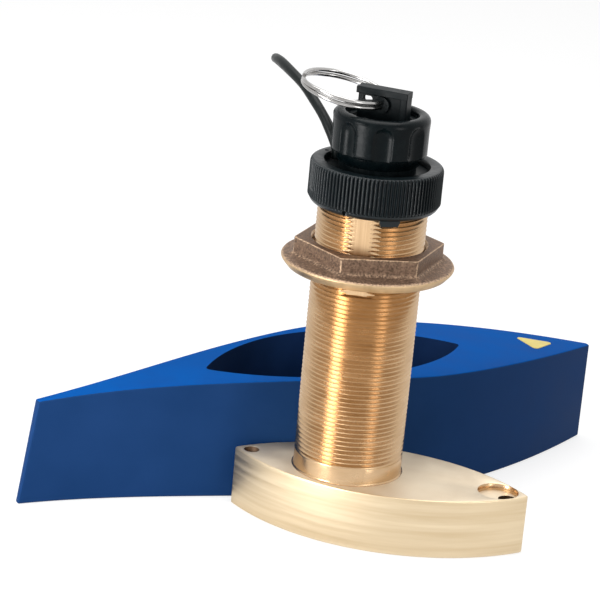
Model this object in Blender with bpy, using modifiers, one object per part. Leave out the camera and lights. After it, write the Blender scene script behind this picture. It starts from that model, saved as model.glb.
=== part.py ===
"""Bronze through-hull sonar transducer for a boat.

A pointed-oval bronze foot carries a threaded stem that passes up through the hull. A hull nut
clamps it, a plastic valve sleeve stands in the stem, and a paddlewheel insert drops into the
sleeve from inside the boat. The sounding element is potted in the foot. Its cable leaves beside
the cap nut. The blue fairing that takes the foot stands behind it, water side up.

Sizes are in millimetres and are turned into metres by MM. +Z is up. The origin is the middle of
the fairing on the ground, which is also the middle of the whole part's box.
"""

import math

import bmesh
import bpy
from mathutils import Matrix, Vector

MM = 0.001

# Clearances
SEAT_GAP = 0.3
TURN_GAP = 0.4
MERGE = 0.01

# How far a cutter, or a form that is joined on, runs past the surface it meets
PAST = 5.0
LAP = 1.0

# Foot of the casting
FOOT_LENGTH = 140.6
FOOT_WIDTH = 61.6
FOOT_HEIGHT = 28.3
FOOT_END_HALF = 1.5
FOOT_EDGE = 0.9
FOOT_CHECK_STEPS = 60
STEM_FROM_LEFT_END = 54.1
TIP_HOLE_X = -46.3
TIP_HOLE_R = 3.4
COUNTERBORE_X = 72.4
COUNTERBORE_R = 9.4
COUNTERBORE_DEPTH = 3.2
BOLT_HOLE_X = 77.2
BOLT_HOLE_R = 4.4

# Stem of the casting
STEM_R = 25.4
THREAD_DEPTH = 1.0
THREAD_PITCH = 25.4 / 12
THREADS_PER_RIB = 4
THREAD_START = 36.0
THREAD_RUNOUT = 1.0
STEM_TOP = 170.0
STEM_WALL = 3.4
STEM_CHAMFER = 1.2
FLAT_WIDTH = 13.4
FLAT_ANGLE = -88.0
FLAT_BOTTOM = 120.0

# Sounding element under the foot
ELEMENT_X = 44.0
POCKET_R = 15.5
POCKET_DEPTH = 22.0
WINDOW_RECESS = 0.4
WINDOW_THICK = 3.0
PIEZO_R = 12.2
PIEZO_THICK = 8.0
BACKING_TOP = 15.2
LEAD_R = 1.5
LEAD_HOLE_R = 2.4
LEAD_HOLE_Z = 18.6
LEAD_OFF_BORE = 3.2
LEAD_STRAIGHT = 3.0
LEAD_SWING = 2.5
LEAD_RISE = 6.0
LEAD_STEPS = 12

# Small sensors drilled into the foot
SPEED_SENSOR_X = -28.6
SPEED_SENSOR_R = 3.2
SPEED_SENSOR_TOP = 19.0
TEMPERATURE_SENSOR_X = -37.2
TEMPERATURE_SENSOR_R = 2.2
TEMPERATURE_SENSOR_TOP = 14.0
SENSOR_CAP_THICK = 3.0

# Valve sleeve inside the stem
SLEEVE_BOTTOM = 32.0
SLEEVE_FLANGE_THICK = 3.3
SLEEVE_WALL = 6.0
NECK_WALL = 2.1
NECK_HEIGHT = 25.0
NECK_CHAMFER = 0.6
LEAD_GROOVE_FLOOR = 1.7
LEAD_GROOVE_WIDTH = 4.4
LEAD_IN_GROOVE = 2.6
WINDOW_BOTTOM = 50.0
WINDOW_TOP = 92.0
WINDOW_HALF_ANGLE = 44.0
WINDOW_INTO_BORE = 4.1
VALVE_ANGLE = -60.0
FLAP_THICK = 2.4
FLAP_SIDE_ANGLE = 8.0
FLAP_STEPS = 12
PIN_R = 0.9
PIN_LENGTH = 16.0
KNUCKLE_R = 2.4
KNUCKLE_LENGTH = 5.0
SPRING_WIRE_R = 0.4
SPRING_TURNS = 2
SPRING_COIL_GAP = 0.12
SPRING_SIDES = 10
PIN_BLOCK = 2.6
PIN_BLOCK_DROP = 4.5
PIN_IN_BLOCK = 0.9

# Cable
CABLE_D = 4.6
EXIT_ANGLE = 162.0
EXIT_CLEARANCE = 0.35
GLAND_R = 3.1

# Paddlewheel insert
INSERT_BOTTOM = 1.2
INSERT_CHAMFER = 1.2
GROOVE_DEPTH = 2.4
GROOVE_WIDTH = 2.9
O_RING_STEPS = 30
LOWER_GROOVE_Z = 40.0
UPPER_GROOVE_DROP = 20.0
WAIST_DEPTH = 1.7
WAIST_LAND = 8.0
WAIST_TAPER = 4.0
SHOULDER_SET_IN = 0.5
SHOULDER_THICK = 2.2
DISH_RIM = 3.1
DISH_DEPTH = 3.2
DISH_TAPER = 1.0
FORK_SLOT = 12.0
FORK_TOP = 28.0
FORK_ROUND = 3.0
WHEEL_R = 12.0
WHEEL_BOTTOM = 0.8
WHEEL_WIDTH = 10.0
WHEEL_HUB_R = 3.8
WHEEL_BLADES = 4
WHEEL_BORE_R = 1.8
AXLE_R = 1.5
AXLE_HOLE_R = 1.8
AXLE_SET_IN = 2.8
MAGNET_R = 1.3
MAGNET_FROM_AXLE = 9.4
MAGNET_ANGLE = 41.0

# One paddle's outline: how far out from the hub to the rim, and its angle round the axle
PADDLE = [(0.0, 0), (0.23, 3), (0.56, 12), (0.88, 26), (1.0, 33), (1.0, 44), (1.0, 55), (0.86, 54),
          (0.46, 46), (0.16, 50), (0.0, 62), (0.0, 76)]

# Handle fin on the insert
FIN_OFF_DISH = 1.9
FIN_THICK = 7.4
FIN_ABOVE_CAP = 9.6
FIN_ANGLE = -8.0
FIN_PLATE = 3.2
FIN_RIM = 1.1
FIN_EDGE = 0.5
RING_HOLE_R = 2.5
RING_HOLE_DROP = 6.4
SMALL_HOLE_FROM_END = 4.1
SMALL_HOLE_DROP = 5.0
SMALL_HOLE_R = 2.0
FIN_POCKET_DEPTH = 1.6

# Cap nut
CAP_ABOVE_RING_NUT = 0.6
CAP_HOLE_SET_IN = 0.7
CAP_HOLE_CHAMFER = 0.8
CAP_WALL = 4.1
CAP_SKIRT_WALL = 0.8
CAP_GRIP_HEIGHT = 18.4
CAP_LIP = 3.2
CAP_LOBES = 8
CAP_ROUND = 3.2
CAP_LOWER_CHAMFER = 1.2
CAP_FLUTE_R = 7.0
CAP_FLUTE_DEPTH = 1.7
CAP_FLUTE_DROP = 3.6
CAP_FLUTE_ANGLE = -75.5

# Split ring
RING_MEAN_R = 19.4
RING_WIRE_R = 0.95
RING_COIL_GAP = 0.35
RING_TILT = 11.0
RING_STEPS = 46
RING_START = 200.0
RING_CROSSING = 0.16

# Ring nut that holds the sleeve down
RING_NUT_BELOW_STEM_TOP = 12.8
RING_NUT_HEIGHT = 19.8
RING_NUT_WALL = 3.7
RING_NUT_LIP_LAP = 0.8
RIB_COUNT = 100
RIB_DEPTH = 1.1
RIB_ABOVE_BOTTOM = 2.2
RIB_BELOW_TOP = 1.8
RIB_ROOT = 0.3
RING_NUT_CHAMFER = 0.9
RING_NUT_FOOT_TAPER = 1.4
RIB_SHELF = 0.6
KEY_WIDTH = 9.6
KEY_DROP = 2.6
KEY_ANGLE = -65.0
KEY_INSET = 0.2

# Hull nut
NUT_WALL = 4.6
NUT_TURN = 20.7
NUT_FLANGE_WIDTH = 9.6
NUT_FACE_SET_IN = 2.8
NUT_BOTTOM = 126.4
NUT_FLANGE_THICK = 4.6
NUT_HEIGHT = 13.4
NUT_CORNER_DROP = 2.0
NUT_FACE_CHAMFER = 1.2
NUT_RIM = 0.9
NUT_FLANGE_SLOPE = 1.0
NUT_BORE_CHAMFER = 1.5

# Fairing
FAIRING_BEYOND_FOOT = 177.6
FAIRING_WALL = 9.9
FAIRING_WIDEST = 0.25
FAIRING_TAIL_STRAIGHT = 0.3
FAIRING_BOW_POWER = 1.6
FAIRING_TIP_HALF = 1.5
FAIRING_TIP_HEIGHT = 50.0
FAIRING_CROWN = 9.4
FAIRING_RAKE = 7.2
FAIRING_RAKE_FROM = 1.0
FAIRING_EDGE = 1.6
FAIRING_HEADING = 42.4
FAIRING_GAP = 0.35
FAIRING_POCKET_U = 7.5
FAIRING_POCKET_CLEARANCE = 0.8
FAIRING_STEM_CLEARANCE = 1.6
ARROW_FROM_TIP = 31.1
ARROW_LENGTH = 18.6
ARROW_WIDTH = 19.0
ARROW_THICK = 1.2
ARROW_PROUD = 0.25
ARROW_CORNER = 2.0

# Where the stem stands along the fairing, from its middle
STEM_ALONG_FAIRING = -20.2

# Coil of spare cable, and the plug on its end, behind the fairing
COIL_ALONG = 96.0
COIL_ASIDE = 90.6
COIL_MEAN_R = 37.9
COIL_COLUMNS = 8
COIL_HEIGHT = 16.8
COIL_EDGE = 1.0
PLUG_R = 8.0
PLUG_LENGTH = 34.0
PLUG_BOOT_LENGTH = 14.0
PLUG_SHOULDER = 2.0
PLUG_GRIP_GROOVE = 0.7
PLUG_NOSE_LENGTH = 12.0
PLUG_COLLAR_R = 9.6
PLUG_COLLAR_LENGTH = 16.0
PLUG_ALONG = 14.0
PLUG_ASIDE = 53.0
CABLE_SPACING = 8.5
TAIL_SPACING = 5.0
LEAD_SPACING = 7.0

# The last stretch of the cable, on the coil: angle round the coil and height above its top turn
LANDING = [(226, 14.0), (238, 4.5), (252, 0.8), (267, 0.0)]

# Worked out from the sizes above: what fits in, over or on top of what
THREAD_ROOT_R = STEM_R - THREAD_DEPTH
THREAD_RIB_SPACING = THREAD_PITCH * THREADS_PER_RIB
STEM_BORE_R = STEM_R - STEM_WALL
NUT_BORE_R = STEM_R + TURN_GAP
SLEEVE_R = STEM_BORE_R - SEAT_GAP
SLEEVE_BORE_R = SLEEVE_R - SLEEVE_WALL
INSERT_R = SLEEVE_BORE_R - TURN_GAP
SLEEVE_FLANGE_R = STEM_R - SEAT_GAP
SLEEVE_FLANGE_BOTTOM = STEM_TOP + SEAT_GAP
SLEEVE_FLANGE_TOP = SLEEVE_FLANGE_BOTTOM + SLEEVE_FLANGE_THICK
NECK_R = SLEEVE_BORE_R + NECK_WALL
NECK_TOP = STEM_TOP + NECK_HEIGHT
SHOULDER_R = NECK_R - SHOULDER_SET_IN
SHOULDER_BOTTOM = NECK_TOP + SEAT_GAP
SHOULDER_TOP = SHOULDER_BOTTOM + SHOULDER_THICK
DISH_R = SHOULDER_R - DISH_RIM
FIN_LENGTH = 2 * (DISH_R - FIN_OFF_DISH)
CAP_BORE_R = NECK_R + TURN_GAP
CAP_R = CAP_BORE_R + CAP_WALL
CAP_HOLE_R = SHOULDER_R - CAP_HOLE_SET_IN
CAP_ROOF = SHOULDER_TOP + SEAT_GAP
CAP_TOP = CAP_ROOF + CAP_LIP
CAP_SKIRT_TOP = CAP_TOP - CAP_GRIP_HEIGHT
FIN_TOP = CAP_TOP + FIN_ABOVE_CAP
RING_HOLE_Z = FIN_TOP - RING_HOLE_DROP
RING_NUT_BOTTOM = STEM_TOP - RING_NUT_BELOW_STEM_TOP
RING_NUT_TOP = RING_NUT_BOTTOM + RING_NUT_HEIGHT
RING_NUT_R = NUT_BORE_R + RING_NUT_WALL
RING_NUT_LIP_R = SLEEVE_FLANGE_R - RING_NUT_LIP_LAP
EXIT_R = RING_NUT_LIP_R - EXIT_CLEARANCE - CABLE_D / 2
FAIRING_LENGTH = FOOT_LENGTH + FAIRING_BEYOND_FOOT
FAIRING_HALF_WIDTH = FOOT_WIDTH / 2 + FAIRING_POCKET_CLEARANCE + FAIRING_WALL

# The cable's way from the ring nut, round behind the part and down, from the stem's axis
CABLE_ROUTE = [
    (-20.6, 6.7, 173.9), (-20.6, 6.7, 177.4), (-22.9, 8.2, 181.9), (-26.2, 11.0, 186.3),
    (-30.3, 15.0, 191.0), (-36.4, 21.0, 195.8), (-43.2, 28.0, 200.4), (-51.4, 37.0, 203.5),
    (-59.5, 48.0, 205.2), (-64.8, 60.0, 203.4), (-66.3, 74.5, 198.8), (-64.2, 89.5, 191.2),
    (-59.6, 104.0, 181.2), (-53.6, 115.5, 168.6), (-46.9, 124.0, 154.0), (-40.7, 129.6, 137.0),
    (-35.3, 133.2, 117.8), (-30.7, 135.2, 97.0), (-27.5, 136.1, 76.2), (-25.3, 136.6, 58.0),
    (-23.9, 137.2, 44.0),
]

# The tail's way from the coil to the plug, along the fairing and aside from it
TAIL_ROUTE = [
    (42.0, 68.4, 2.3), (41.0, 63.2, 2.5), (37.7, 58.5, 3.6), (32.7, 55.2, 5.6), (26.8, 53.4, 7.8),
    (20.8, 53.0, 9.2), (14.3, 53.0, 9.6),
]

BRONZE = ("bronze", (0.72, 0.50, 0.28), 0.34, 1.0)
SAND_BRONZE = ("sand_cast_bronze", (0.36, 0.22, 0.13), 0.6, 0.9)
BLACK_PLASTIC = ("black_plastic", (0.012, 0.014, 0.016), 0.38, 0.0)
GLOSS_PLASTIC = ("gloss_black_plastic", (0.010, 0.011, 0.013), 0.18, 0.0)
GREY_PLASTIC = ("grey_plastic", (0.10, 0.11, 0.12), 0.5, 0.0)
BLACK_RUBBER = ("black_rubber", (0.015, 0.015, 0.016), 0.65, 0.0)
CABLE_JACKET = ("cable_jacket", (0.02, 0.02, 0.022), 0.5, 0.0)
STAINLESS = ("stainless_steel", (0.62, 0.61, 0.60), 0.2, 1.0)
CERAMIC = ("ceramic", (0.72, 0.66, 0.52), 0.6, 0.0)
CORK = ("cork", (0.45, 0.30, 0.17), 0.9, 0.0)
URETHANE = ("urethane", (0.03, 0.03, 0.035), 0.4, 0.0)
NICKEL = ("nickel_plate", (0.58, 0.57, 0.54), 0.28, 1.0)
FAIRING_BLUE = ("fairing_blue", (0.0, 0.09, 0.37), 0.45, 0.0)
ARROW_YELLOW = ("arrow_yellow", (0.85, 0.68, 0.08), 0.5, 0.0)

materials = {}


def new_collection(name):
    collection = bpy.data.collections.new(name)
    bpy.context.scene.collection.children.link(collection)
    return collection


def material(finish):
    name, colour, roughness, metallic = finish
    if name not in materials:
        made = bpy.data.materials.new(name)
        made.use_nodes = True
        shader = made.node_tree.nodes["Principled BSDF"]
        shader.inputs["Base Color"].default_value = (*colour, 1.0)
        shader.inputs["Roughness"].default_value = roughness
        shader.inputs["Metallic"].default_value = metallic
        made.diffuse_color = (*colour, 1.0)
        materials[name] = made
    return materials[name]


for old in list(bpy.data.objects):
    bpy.data.objects.remove(old, do_unlink=True)
parts = new_collection("through_hull_transducer")
cutters = new_collection("cutters")


def place(name, data, finish, parent, location=(0, 0, 0), turn=(0, 0, 0)):
    """Link a piece, or a cutter where finish is None, at a place given in millimetres and degrees."""
    made = bpy.data.objects.new(name, data)
    made.parent = parent
    made.location = [value * MM for value in location]
    made.rotation_euler = [math.radians(angle) for angle in turn]
    if finish is None:
        cutters.objects.link(made)
        made.hide_render = True
        made.display_type = "WIRE"
    else:
        parts.objects.link(made)
        made.data.materials.append(material(finish))
    return made


def empty(name, parent=None, location=(0, 0, 0), turn=(0, 0, 0)):
    made = bpy.data.objects.new(name, None)
    made.parent = parent
    made.location = [value * MM for value in location]
    made.rotation_euler = [math.radians(angle) for angle in turn]
    parts.objects.link(made)
    return made


def shade(mesh, angle=35):
    mesh.shade_smooth()
    mesh.set_sharp_from_angle(angle=math.radians(angle))


def turned(name, profile, finish, parent, steps=64, location=(0, 0, 0), turn=(0, 0, 0)):
    """Turn a closed (radius, height) profile, outer side listed from top to bottom."""
    mesh = bpy.data.meshes.new(name)
    points = [(radius * MM, 0, height * MM) for radius, height in profile]
    on_axis = profile[0][0] == 0 and profile[-1][0] == 0
    edges = [(i, i + 1) for i in range(len(points) - 1)]
    if not on_axis:
        edges.append((len(points) - 1, 0))
    mesh.from_pydata(points, edges, [])
    made = place(name, mesh, finish, parent, location, turn)
    screw = made.modifiers.new("turn", "SCREW")
    screw.axis = "Z"
    screw.steps = steps
    screw.render_steps = steps
    screw.use_smooth_shade = True
    screw.use_merge_vertices = True
    screw.merge_threshold = MERGE * MM
    return made


def rod(name, radius, length, finish, parent, location, turn=(0, 0, 0), segments=32, top_radius=None):
    """A cylinder or cone centred on its location."""
    form = bmesh.new()
    bmesh.ops.create_cone(form, cap_ends=True, segments=segments, radius1=radius * MM,
                          radius2=(radius if top_radius is None else top_radius) * MM,
                          depth=length * MM)
    mesh = bpy.data.meshes.new(name)
    form.to_mesh(mesh)
    form.free()
    shade(mesh)
    return place(name, mesh, finish, parent, location, turn)


def box(name, size, finish, parent, location, turn=(0, 0, 0)):
    form = bmesh.new()
    bmesh.ops.create_cube(form, size=1.0)
    bmesh.ops.scale(form, vec=[value * MM for value in size], verts=form.verts)
    mesh = bpy.data.meshes.new(name)
    form.to_mesh(mesh)
    form.free()
    return place(name, mesh, finish, parent, location, turn)


def curve_mesh(name, curve):
    """The welded mesh of a curve with filled caps."""
    guide = bpy.data.objects.new(name + "_curve", curve)
    cutters.objects.link(guide)
    bpy.context.view_layer.update()
    evaluated = guide.evaluated_get(bpy.context.evaluated_depsgraph_get())
    mesh = bpy.data.meshes.new_from_object(evaluated)
    mesh.name = name
    bpy.data.objects.remove(guide, do_unlink=True)
    form = bmesh.new()
    form.from_mesh(mesh)
    bmesh.ops.remove_doubles(form, verts=form.verts, dist=MERGE * MM)
    bmesh.ops.recalc_face_normals(form, faces=form.faces)
    form.to_mesh(mesh)
    form.free()
    mesh.materials.clear()
    return mesh


def slab(name, outlines, height, finish, parent, location=(0, 0, 0), turn=(0, 0, 0)):
    """A flat outline, with any holes, standing from z 0 to its height."""
    curve = bpy.data.curves.new(name, "CURVE")
    curve.dimensions = "2D"
    curve.fill_mode = "BOTH"
    curve.extrude = height / 2 * MM
    for outline in outlines:
        spline = curve.splines.new("POLY")
        spline.points.add(len(outline) - 1)
        for point, (x, y) in zip(spline.points, outline):
            point.co = (x * MM, y * MM, 0, 1)
        spline.use_cyclic_u = True
    mesh = curve_mesh(name, curve)
    mesh.transform(Matrix.Translation((0, 0, height / 2 * MM)))
    shade(mesh)
    return place(name, mesh, finish, parent, location, turn)


def wire(name, points, radius, finish, parent, closed=False, sides=2, location=(0, 0, 0),
         turn=(0, 0, 0)):
    """A round wire or cable along its points."""
    curve = bpy.data.curves.new(name, "CURVE")
    curve.dimensions = "3D"
    curve.bevel_depth = radius * MM
    curve.bevel_resolution = sides
    curve.use_fill_caps = True
    spline = curve.splines.new("POLY")
    spline.points.add(len(points) - 1)
    for point, place_mm in zip(spline.points, points):
        point.co = (*[value * MM for value in place_mm], 1)
    spline.use_cyclic_u = closed
    spline.use_smooth = True
    return place(name, curve, finish, parent, location, turn)


def smooth_route(points, spacing):
    """Even points on the smooth curve that passes through the given points."""
    fine = []
    last = len(points) - 1
    for i in range(last):
        before, start = Vector(points[max(i - 1, 0)]), Vector(points[i])
        end, after = Vector(points[i + 1]), Vector(points[min(i + 2, last)])
        for step in range(16):
            t = step / 16
            fine.append(0.5 * (2 * start + (end - before) * t
                               + (2 * before - 5 * start + 4 * end - after) * t ** 2
                               + (3 * start - before - 3 * end + after) * t ** 3))
    fine.append(Vector(points[last]))
    lengths = [0.0]
    for a, b in zip(fine, fine[1:]):
        lengths.append(lengths[-1] + (b - a).length)
    count = max(2, round(lengths[-1] / spacing))
    even = []
    at = 0
    for k in range(count + 1):
        want = lengths[-1] * k / count
        while at < len(fine) - 2 and lengths[at + 1] < want:
            at += 1
        share = (want - lengths[at]) / (lengths[at + 1] - lengths[at])
        even.append(tuple(fine[at].lerp(fine[at + 1], share)))
    return even


def boolean(piece, other, operation="DIFFERENCE"):
    """Cut, join or keep the common part of a piece and another form, exactly."""
    step = piece.modifiers.new(other.name, "BOOLEAN")
    step.operation = operation
    step.solver = "EXACT"
    step.object = other


def round_edges(piece, width, angle=40, segments=2):
    bevel = piece.modifiers.new("edges", "BEVEL")
    bevel.width = width * MM
    bevel.segments = segments
    bevel.limit_method = "ANGLE"
    bevel.angle_limit = math.radians(angle)
    bevel.use_clamp_overlap = True


def around(radius, angle):
    """X and Y at a radius and an angle in degrees."""
    return radius * math.cos(math.radians(angle)), radius * math.sin(math.radians(angle))


def foot_half_width(x, grow=0.0):
    """Half the foot's width at x from the middle of its length: one arc each side."""
    half_length = FOOT_LENGTH / 2
    rise = FOOT_WIDTH / 2 - FOOT_END_HALF
    arc_r = (half_length ** 2 + rise ** 2) / (2 * rise)
    return math.sqrt((arc_r + grow) ** 2 - x * x) - (arc_r - rise) + FOOT_END_HALF


def foot_outline(grow=0.0, steps=20):
    """The pointed oval, from the stem's axis, grown evenly by a clearance."""
    middle = FOOT_LENGTH / 2 - STEM_FROM_LEFT_END
    reach = FOOT_LENGTH / 2 + grow
    stations = [-reach + 2 * reach * i / steps for i in range(steps + 1)]
    upper = [(x + middle, foot_half_width(x, grow)) for x in stations]
    return upper + [(x, -y) for x, y in reversed(upper)]


def fairing_half_width(u):
    """Half the fairing's width: a drawn-out tail on the left, a fuller bow on the right."""
    s = max(-1.0, min(1.0, 2 * u / FAIRING_LENGTH))
    swell = FAIRING_HALF_WIDTH - FAIRING_TIP_HALF
    if s < FAIRING_WIDEST:
        t = (s + 1) / (1 + FAIRING_WIDEST)
        ease = (1 - math.cos(math.pi * t)) / 2
        blend = min(1.0, max(0.0, (1 - t) * 3))
        share = FAIRING_TAIL_STRAIGHT * blend
        return FAIRING_TIP_HALF + swell * ((1 - share) * ease + share * t)
    r = (s - FAIRING_WIDEST) / (1 - FAIRING_WIDEST)
    return FAIRING_TIP_HALF + swell * (1 - r ** FAIRING_BOW_POWER)


def fairing_top(u):
    return FAIRING_TIP_HEIGHT + FAIRING_CROWN * (1 - (2 * u / FAIRING_LENGTH) ** 2)


def stem_aside():
    """How far aside of the fairing's middle the stem stands, so that the foot just clears it."""
    heading = math.radians(FAIRING_HEADING)
    nearest = 0.0
    for x, y in foot_outline(steps=FOOT_CHECK_STEPS):
        along = x * math.cos(heading) + y * math.sin(heading)
        aside = -x * math.sin(heading) + y * math.cos(heading)
        nearest = min(nearest, -fairing_half_width(STEM_ALONG_FAIRING + along) - FAIRING_GAP - aside)
    return nearest


# The two stands that everything is set out from
fairing_stand = empty("fairing_stand", turn=(0, 0, FAIRING_HEADING))
stem_place = Matrix.Rotation(math.radians(FAIRING_HEADING), 3, "Z") @ Vector(
    (STEM_ALONG_FAIRING, stem_aside(), 0))
stem_axis = empty("stem_axis", location=stem_place)


def thread_ribs():
    """The thread as ribs round the stem, one for every few of its turns, on a profile that runs down."""
    ribs = []
    rise = THREAD_DEPTH
    crest = THREAD_RIB_SPACING / 2 - rise
    top = STEM_TOP - STEM_CHAMFER - rise
    while top - crest - 2 * rise > THREAD_START + THREAD_RUNOUT + rise:
        ribs += [(THREAD_ROOT_R, top), (STEM_R, top - rise), (STEM_R, top - rise - crest),
                 (THREAD_ROOT_R, top - 2 * rise - crest)]
        top -= THREAD_RIB_SPACING
    return ribs


def make_housing():
    """The casting: foot and stem in one, bored through, with its pocket, holes and key flat."""
    foot = slab("housing", [foot_outline()], FOOT_HEIGHT, BRONZE, stem_axis)
    round_edges(foot, FOOT_EDGE)
    stem = turned("stem_blank", [(0, STEM_TOP), (THREAD_ROOT_R - STEM_CHAMFER, STEM_TOP),
                                 (THREAD_ROOT_R, STEM_TOP - STEM_CHAMFER)] + thread_ribs()
                  + [(THREAD_ROOT_R, THREAD_START + THREAD_RUNOUT), (STEM_R, THREAD_START),
                     (STEM_R, FOOT_HEIGHT - PAST), (0, FOOT_HEIGHT - PAST)], None, stem_axis, 52)
    boolean(foot, stem, "UNION")
    bore = rod("stem_bore", STEM_BORE_R, STEM_TOP + 2 * PAST, None, stem_axis, (0, 0, STEM_TOP / 2),
               segments=44)
    boolean(foot, bore)
    pocket = rod("element_pocket", POCKET_R, 2 * POCKET_DEPTH, None, stem_axis, (ELEMENT_X, 0, 0),
                 segments=32)
    boolean(foot, pocket)
    lead_from = STEM_BORE_R - PAST
    lead_hole = rod("lead_hole", LEAD_HOLE_R, ELEMENT_X - lead_from, None, stem_axis,
                    ((ELEMENT_X + lead_from) / 2, 0, LEAD_HOLE_Z), (0, 90, 0), 16)
    boolean(foot, lead_hole)
    for name, x, radius, top in (
            ("speed_sensor_hole", SPEED_SENSOR_X, SPEED_SENSOR_R, SPEED_SENSOR_TOP),
            ("temperature_sensor_hole", TEMPERATURE_SENSOR_X, TEMPERATURE_SENSOR_R,
             TEMPERATURE_SENSOR_TOP)):
        hole = rod(name, radius + SEAT_GAP, 2 * (top + SEAT_GAP), None, stem_axis, (x, 0, 0), segments=24)
        boolean(foot, hole)
    tip_hole = rod("tip_hole", TIP_HOLE_R, 3 * FOOT_HEIGHT, None, stem_axis,
                   (TIP_HOLE_X, 0, FOOT_HEIGHT / 2), segments=24)
    boolean(foot, tip_hole)
    counterbore = rod("counterbore", COUNTERBORE_R, 2 * COUNTERBORE_DEPTH, None, stem_axis,
                      (COUNTERBORE_X, 0, FOOT_HEIGHT), segments=40)
    boolean(foot, counterbore)
    bolt_hole = rod("bolt_hole", BOLT_HOLE_R, 3 * FOOT_HEIGHT, None, stem_axis,
                    (BOLT_HOLE_X, 0, FOOT_HEIGHT / 2), segments=28)
    boolean(foot, bolt_hole)
    flat_depth = STEM_R - math.sqrt(STEM_R ** 2 - (FLAT_WIDTH / 2) ** 2)
    flat_at = STEM_R - flat_depth + PAST
    flat = box("key_flat", (2 * PAST, FLAT_WIDTH * 2, STEM_TOP), None, stem_axis,
               (*around(flat_at, FLAT_ANGLE), FLAT_BOTTOM + STEM_TOP / 2), (0, 0, FLAT_ANGLE))
    boolean(foot, flat)
    return foot


def make_element():
    """The sounding element potted in the foot's pocket: window, ceramic disc, cork and potting."""
    window_top = WINDOW_RECESS + WINDOW_THICK
    fit_r = POCKET_R - SEAT_GAP
    rod("acoustic_window", fit_r, WINDOW_THICK, URETHANE, stem_axis,
        (ELEMENT_X, 0, WINDOW_RECESS + WINDOW_THICK / 2))
    piezo_bottom = window_top + SEAT_GAP
    rod("piezo_disc", PIEZO_R, PIEZO_THICK, CERAMIC, stem_axis,
        (ELEMENT_X, 0, piezo_bottom + PIEZO_THICK / 2))
    inner_top = piezo_bottom + PIEZO_THICK + SEAT_GAP
    turned("element_backing", [
        (0, BACKING_TOP), (fit_r, BACKING_TOP), (fit_r, piezo_bottom), (PIEZO_R + SEAT_GAP, piezo_bottom),
        (PIEZO_R + SEAT_GAP, inner_top), (0, inner_top)], CORK, stem_axis, 32, (ELEMENT_X, 0, 0))
    potting_bottom = BACKING_TOP + SEAT_GAP
    potting_height = POCKET_DEPTH - SEAT_GAP - potting_bottom
    rod("element_potting", fit_r, potting_height, URETHANE, stem_axis,
        (ELEMENT_X, 0, potting_bottom + potting_height / 2))
    for name, x, radius, top in (
            ("speed_sensor", SPEED_SENSOR_X, SPEED_SENSOR_R, SPEED_SENSOR_TOP),
            ("temperature_sensor", TEMPERATURE_SENSOR_X, TEMPERATURE_SENSOR_R,
             TEMPERATURE_SENSOR_TOP)):
        bottom = WINDOW_RECESS + SENSOR_CAP_THICK + SEAT_GAP
        rod(name, radius, top - bottom, NICKEL, stem_axis, (x, 0, (top + bottom) / 2), segments=24)
        rod(name + "_plug", radius, SENSOR_CAP_THICK, URETHANE, stem_axis,
            (x, 0, WINDOW_RECESS + SENSOR_CAP_THICK / 2), segments=24)


def make_lead():
    """The element's lead: out of the pocket, round the insert and up the sleeve's groove."""
    start_x = ELEMENT_X - POCKET_R + SEAT_GAP
    turn_r = STEM_BORE_R - LEAD_OFF_BORE
    groove_r = STEM_BORE_R - LEAD_IN_GROOVE
    points = [(start_x, 0, LEAD_HOLE_Z), (start_x - LEAD_STRAIGHT, 0, LEAD_HOLE_Z)]
    for i in range(LEAD_STEPS):
        share = i / LEAD_STEPS
        radius = turn_r + (LEAD_SWING if i == 0 else 0)
        points.append((*around(radius, EXIT_ANGLE * share), LEAD_HOLE_Z + LEAD_RISE * share))
    # up the groove, and out a little under the gland
    for radius, height in ((turn_r, SLEEVE_BOTTOM - LEAD_RISE), (groove_r, SLEEVE_BOTTOM + LEAD_STRAIGHT),
                           (groove_r, WINDOW_BOTTOM), (groove_r, RING_NUT_BOTTOM),
                           (groove_r + SEAT_GAP, STEM_TOP)):
        points.append((*around(radius, EXIT_ANGLE), height))
    wire("element_lead", smooth_route(points, LEAD_SPACING), LEAD_R, CABLE_JACKET, stem_axis, sides=1)


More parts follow.
